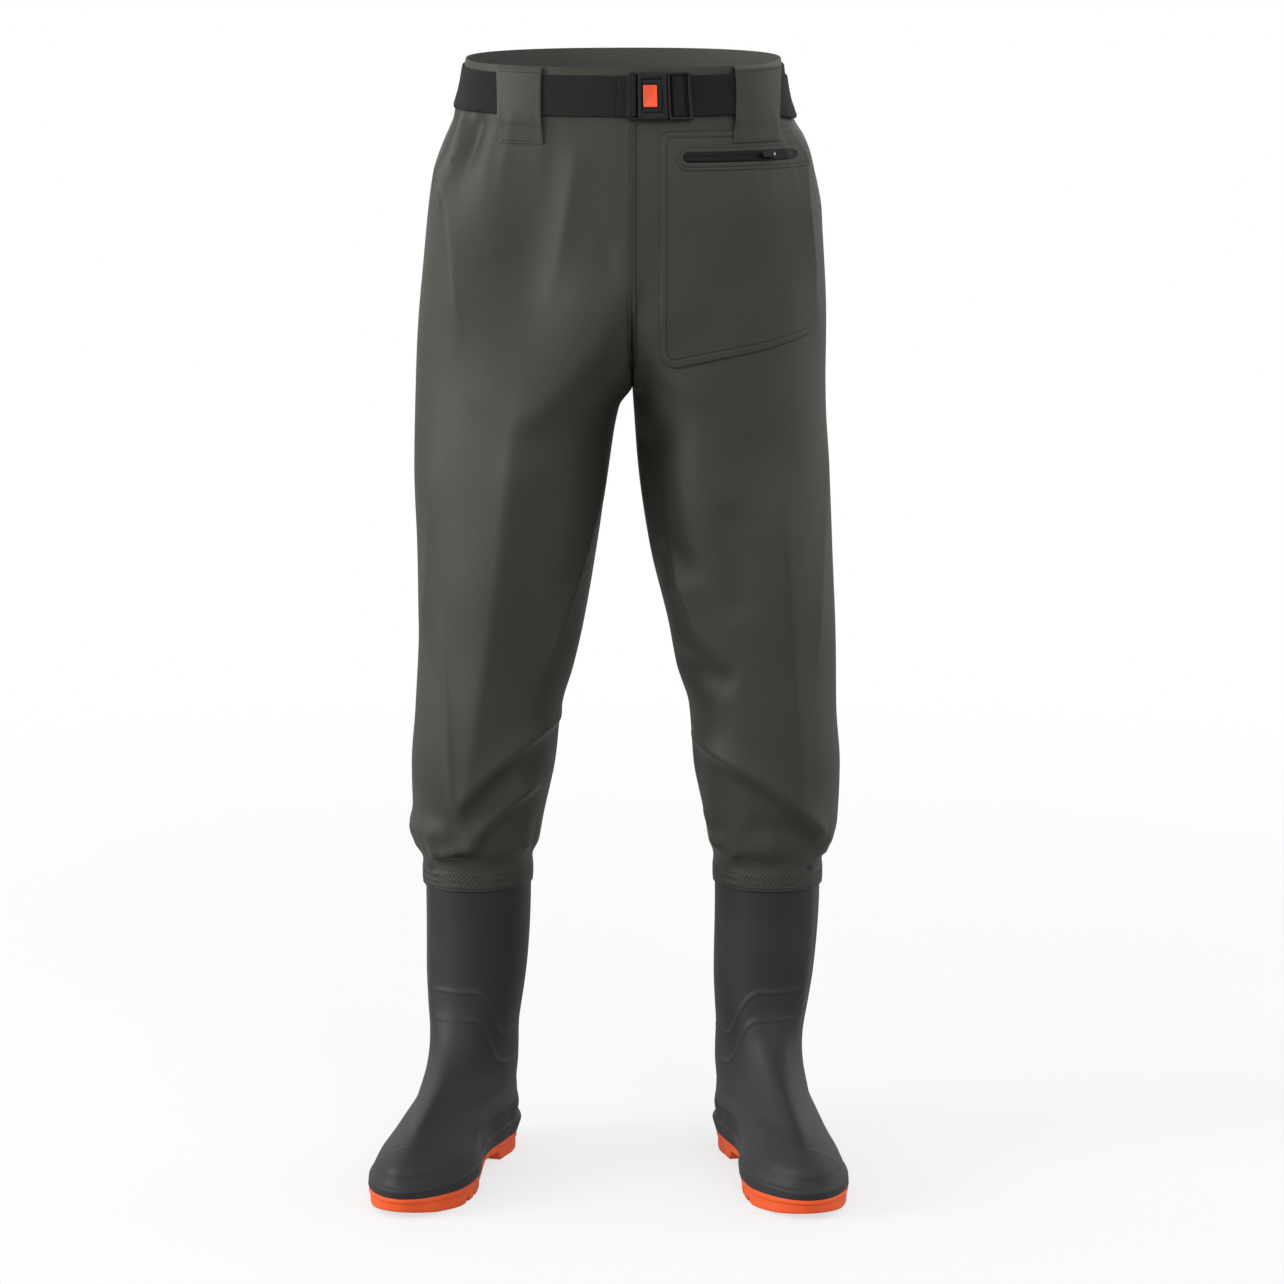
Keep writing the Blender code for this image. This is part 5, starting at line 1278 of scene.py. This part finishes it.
def make_boot(side):
    """Boot upper: rings an even way apart, moved out by their relief, with an inner wall."""
    name = SIDE_NAMES[side]
    fine = np.linspace(0, BOOT["level"][-1], 700)
    few = np.linspace(0, 2 * math.pi, 24, endpoint=False)
    spread = np.stack(boot_ring(few[None, :], fine[:, None]), axis=-1)
    run = np.linalg.norm(np.diff(spread, axis=0), axis=-1).mean(axis=1).cumsum()
    levels = np.interp(np.linspace(0, run[-1], BOOT_LEVELS), np.concatenate([[0], run]), fine)[:, None]
    angles = np.linspace(0, 2 * math.pi, BOOT_ANGLES, endpoint=False)[None, :]
    across, station, height = boot_ring(angles, levels)
    plain = np.stack(np.broadcast_arrays(across, station, height), axis=-1)
    closed = np.concatenate([plain[:, -1:], plain, plain[:, :1]], axis=1)
    normal = np.cross(np.gradient(closed, axis=1)[:, 1:-1], np.gradient(plain, axis=0))
    normal /= np.maximum(np.linalg.norm(normal, axis=-1, keepdims=True), 1e-12)
    normal = normal * np.sign((normal[BOOT_LEVELS // 2, :, 0] * np.sin(angles[0])).sum())
    outer = plain + normal * boot_relief(angles, station, across, height, levels)[..., None]
    inner = (plain - normal * BOOT_WALL)[::2, ::2]
    outer, inner = (stand_boot(side, g[..., 0], g[..., 1], g[..., 2]) for g in (outer, inner))
    shell("boot_" + name, [outer], [inner], True, rubber, lining, ["boot_upper_" + name])


def sole_bottom(station):
    """Underside of the outsole with its cross grooves cut in."""
    bottom = np.interp(station, SOLE["station"], SOLE["bottom"])
    edge = np.array((GROOVE_WIDE / 2 - GROOVE_EDGE, GROOVE_WIDE / 2 + GROOVE_EDGE))
    for middle in GROOVE_STATIONS:
        bottom = np.maximum(bottom, GROOVE_DEEP * span(station, middle - edge[::-1], middle + edge))
    return bottom


def make_outsole(side):
    """Outsole: the foot's outline drawn in by the side's profile from tread to feather edge, with caps."""
    name = SIDE_NAMES[side]
    stations = np.linspace(0, BOOT_LENGTH, 151)
    for middle in GROOVE_STATIONS:
        for reach in (GROOVE_WIDE / 2 + GROOVE_EDGE, GROOVE_WIDE / 2 - GROOVE_EDGE):
            stations = np.append(stations, (middle - reach, middle + reach))
    stations = np.unique(np.round(stations, 6))[1:-1][::-1]
    half = np.arccos(2 * stations / BOOT_LENGTH - 1)
    near_toe = np.linspace(0, half[0], 6)[:-1]
    half = np.concatenate([near_toe, half, math.pi - near_toe[::-1]])
    angles = np.concatenate([half, 2 * math.pi - half[-2:0:-1]])
    toe_share = (1 + np.cos(angles)) / 2
    shares = [np.linspace(low, high, count, endpoint=False) for low, high, count in SOLE_SIDE_STEPS]
    rings = []
    for share in np.append(np.concatenate(shares), 1.0):
        inset = smooth(SOLE_SIDE, "inset", share)
        station = inset + (BOOT_LENGTH - 2 * inset) * toe_share
        across = (foot_half_width(angles, toe_share) - inset) * np.sin(angles)
        along = np.clip(station / BOOT_LENGTH, 0, 1)
        top = SOLE_HEEL_TOP + (SOLE_TOE_TOP - SOLE_HEEL_TOP) * along - FEATHER_DIP * 4 * along * (1 - along)
        bottom = sole_bottom(station)
        rings.append(stand_boot(side, across, station, bottom + share * (top - bottom)))
    rings = np.stack(rings)
    rows, count = rings.shape[:2]
    faces = grid_faces(rows, count, closed=True)
    for start in (0, (rows - 1) * count):
        near = start + np.arange(1, count // 2 - 1)
        far = 2 * start + count - near
        faces += np.stack([near, near + 1, far - 1, far], axis=-1).tolist()
        heel = start + count // 2
        faces += [[start, start + 1, start + count - 1], [heel - 1, heel, heel + 1]]
    add_piece("sole_" + name, rings, faces, sole_rubber, ["outsole_" + name])


make_trousers()
make_seam("front_seam", False, *FRONT_STRIP)
make_seam("back_seam", True, *BACK_STRIP)
make_pocket()
make_belt()
over_belt = BELT_LIFT + WEBBING + GAP
over_tail = BAR_LOW + FOLDED_WEBBING + GAP
over_pocket = POCKET_LAY + POCKET_THICKNESS + GAP
make_loop("front_right", RIGHT, LOOP_FRONT_FROM_SEAM[RIGHT], False, LOOP_LAY, over_belt)
make_loop("front_left", LEFT, LOOP_FRONT_FROM_SEAM[LEFT], False, over_pocket, over_tail)
for side in (RIGHT, LEFT):
    make_loop("back_" + SIDE_NAMES[side], side, LOOP_BACK_FROM_SEAM, True, LOOP_LAY, over_belt)
    make_hem(side)
    make_boot(side)
    make_outsole(side)
    insole = frame["nodes"]["insole_" + SIDE_NAMES[side]]
    insole.data.materials.clear()
    insole.data.materials.append(felt)
make_buckle()
make_zip_tape()
make_zip_slider()


# Stage

def add_light(name, place, size, power, colour):
    """A soft square light that faces the middle of the wader."""
    lamp = bpy.data.lights.new(name, "AREA")
    lamp.shape, lamp.size, lamp.energy, lamp.color = "SQUARE", size, power, colour
    made = bpy.data.objects.new(name, lamp)
    bpy.context.scene.collection.objects.link(made)
    made.location = place
    made.rotation_euler = (Vector(LIT_PLACE) - Vector(place)).to_track_quat("-Z", "Y").to_euler()


def make_stage():
    """Pale round floor, three soft lights, a white backdrop and the photograph's camera."""
    turn = np.linspace(0, 2 * math.pi, 96, endpoint=False)
    rim = FLOOR_REACH * np.stack([np.cos(turn), np.sin(turn), 0 * turn], axis=-1)
    mesh = bpy.data.meshes.new("floor")
    mesh.from_pydata(rim.tolist(), [], [list(range(len(rim)))])
    mesh.materials.append(floor_paint)
    floor = bpy.data.objects.new("floor", mesh)
    bpy.context.scene.collection.objects.link(floor)

    for name, light in LIGHTS.items():
        add_light(name, *light)
    world = bpy.data.worlds.new("studio")
    world.use_nodes = True
    backdrop = world.node_tree.nodes["Background"]
    backdrop.inputs["Color"].default_value = (1, 1, 1, 1)
    seen = Wire(world.node_tree).node("ShaderNodeLightPath")
    height = seen.node("ShaderNodeTexCoord").parts()[2]
    light = SKY_LOW + (SKY_HIGH - SKY_LOW) * height.between(-SKY_BAND, SKY_BAND)
    strength = light + (1 - light) * seen
    world.node_tree.links.new(strength.socket, backdrop.inputs["Strength"])
    bpy.context.scene.world = world
    bpy.context.scene.view_settings.view_transform = "Standard"

    lens = bpy.data.cameras.new("camera")
    lens.sensor_width, lens.lens = SENSOR, FOCAL_PIXELS * SENSOR / IMAGE_PIXELS
    camera = bpy.data.objects.new("camera", lens)
    bpy.context.scene.collection.objects.link(camera)
    camera.location = CAMERA_PLACE
    camera.rotation_euler = (math.pi / 2 - CAMERA_DOWN, 0, 0)
    bpy.context.scene.camera = camera


make_stage()
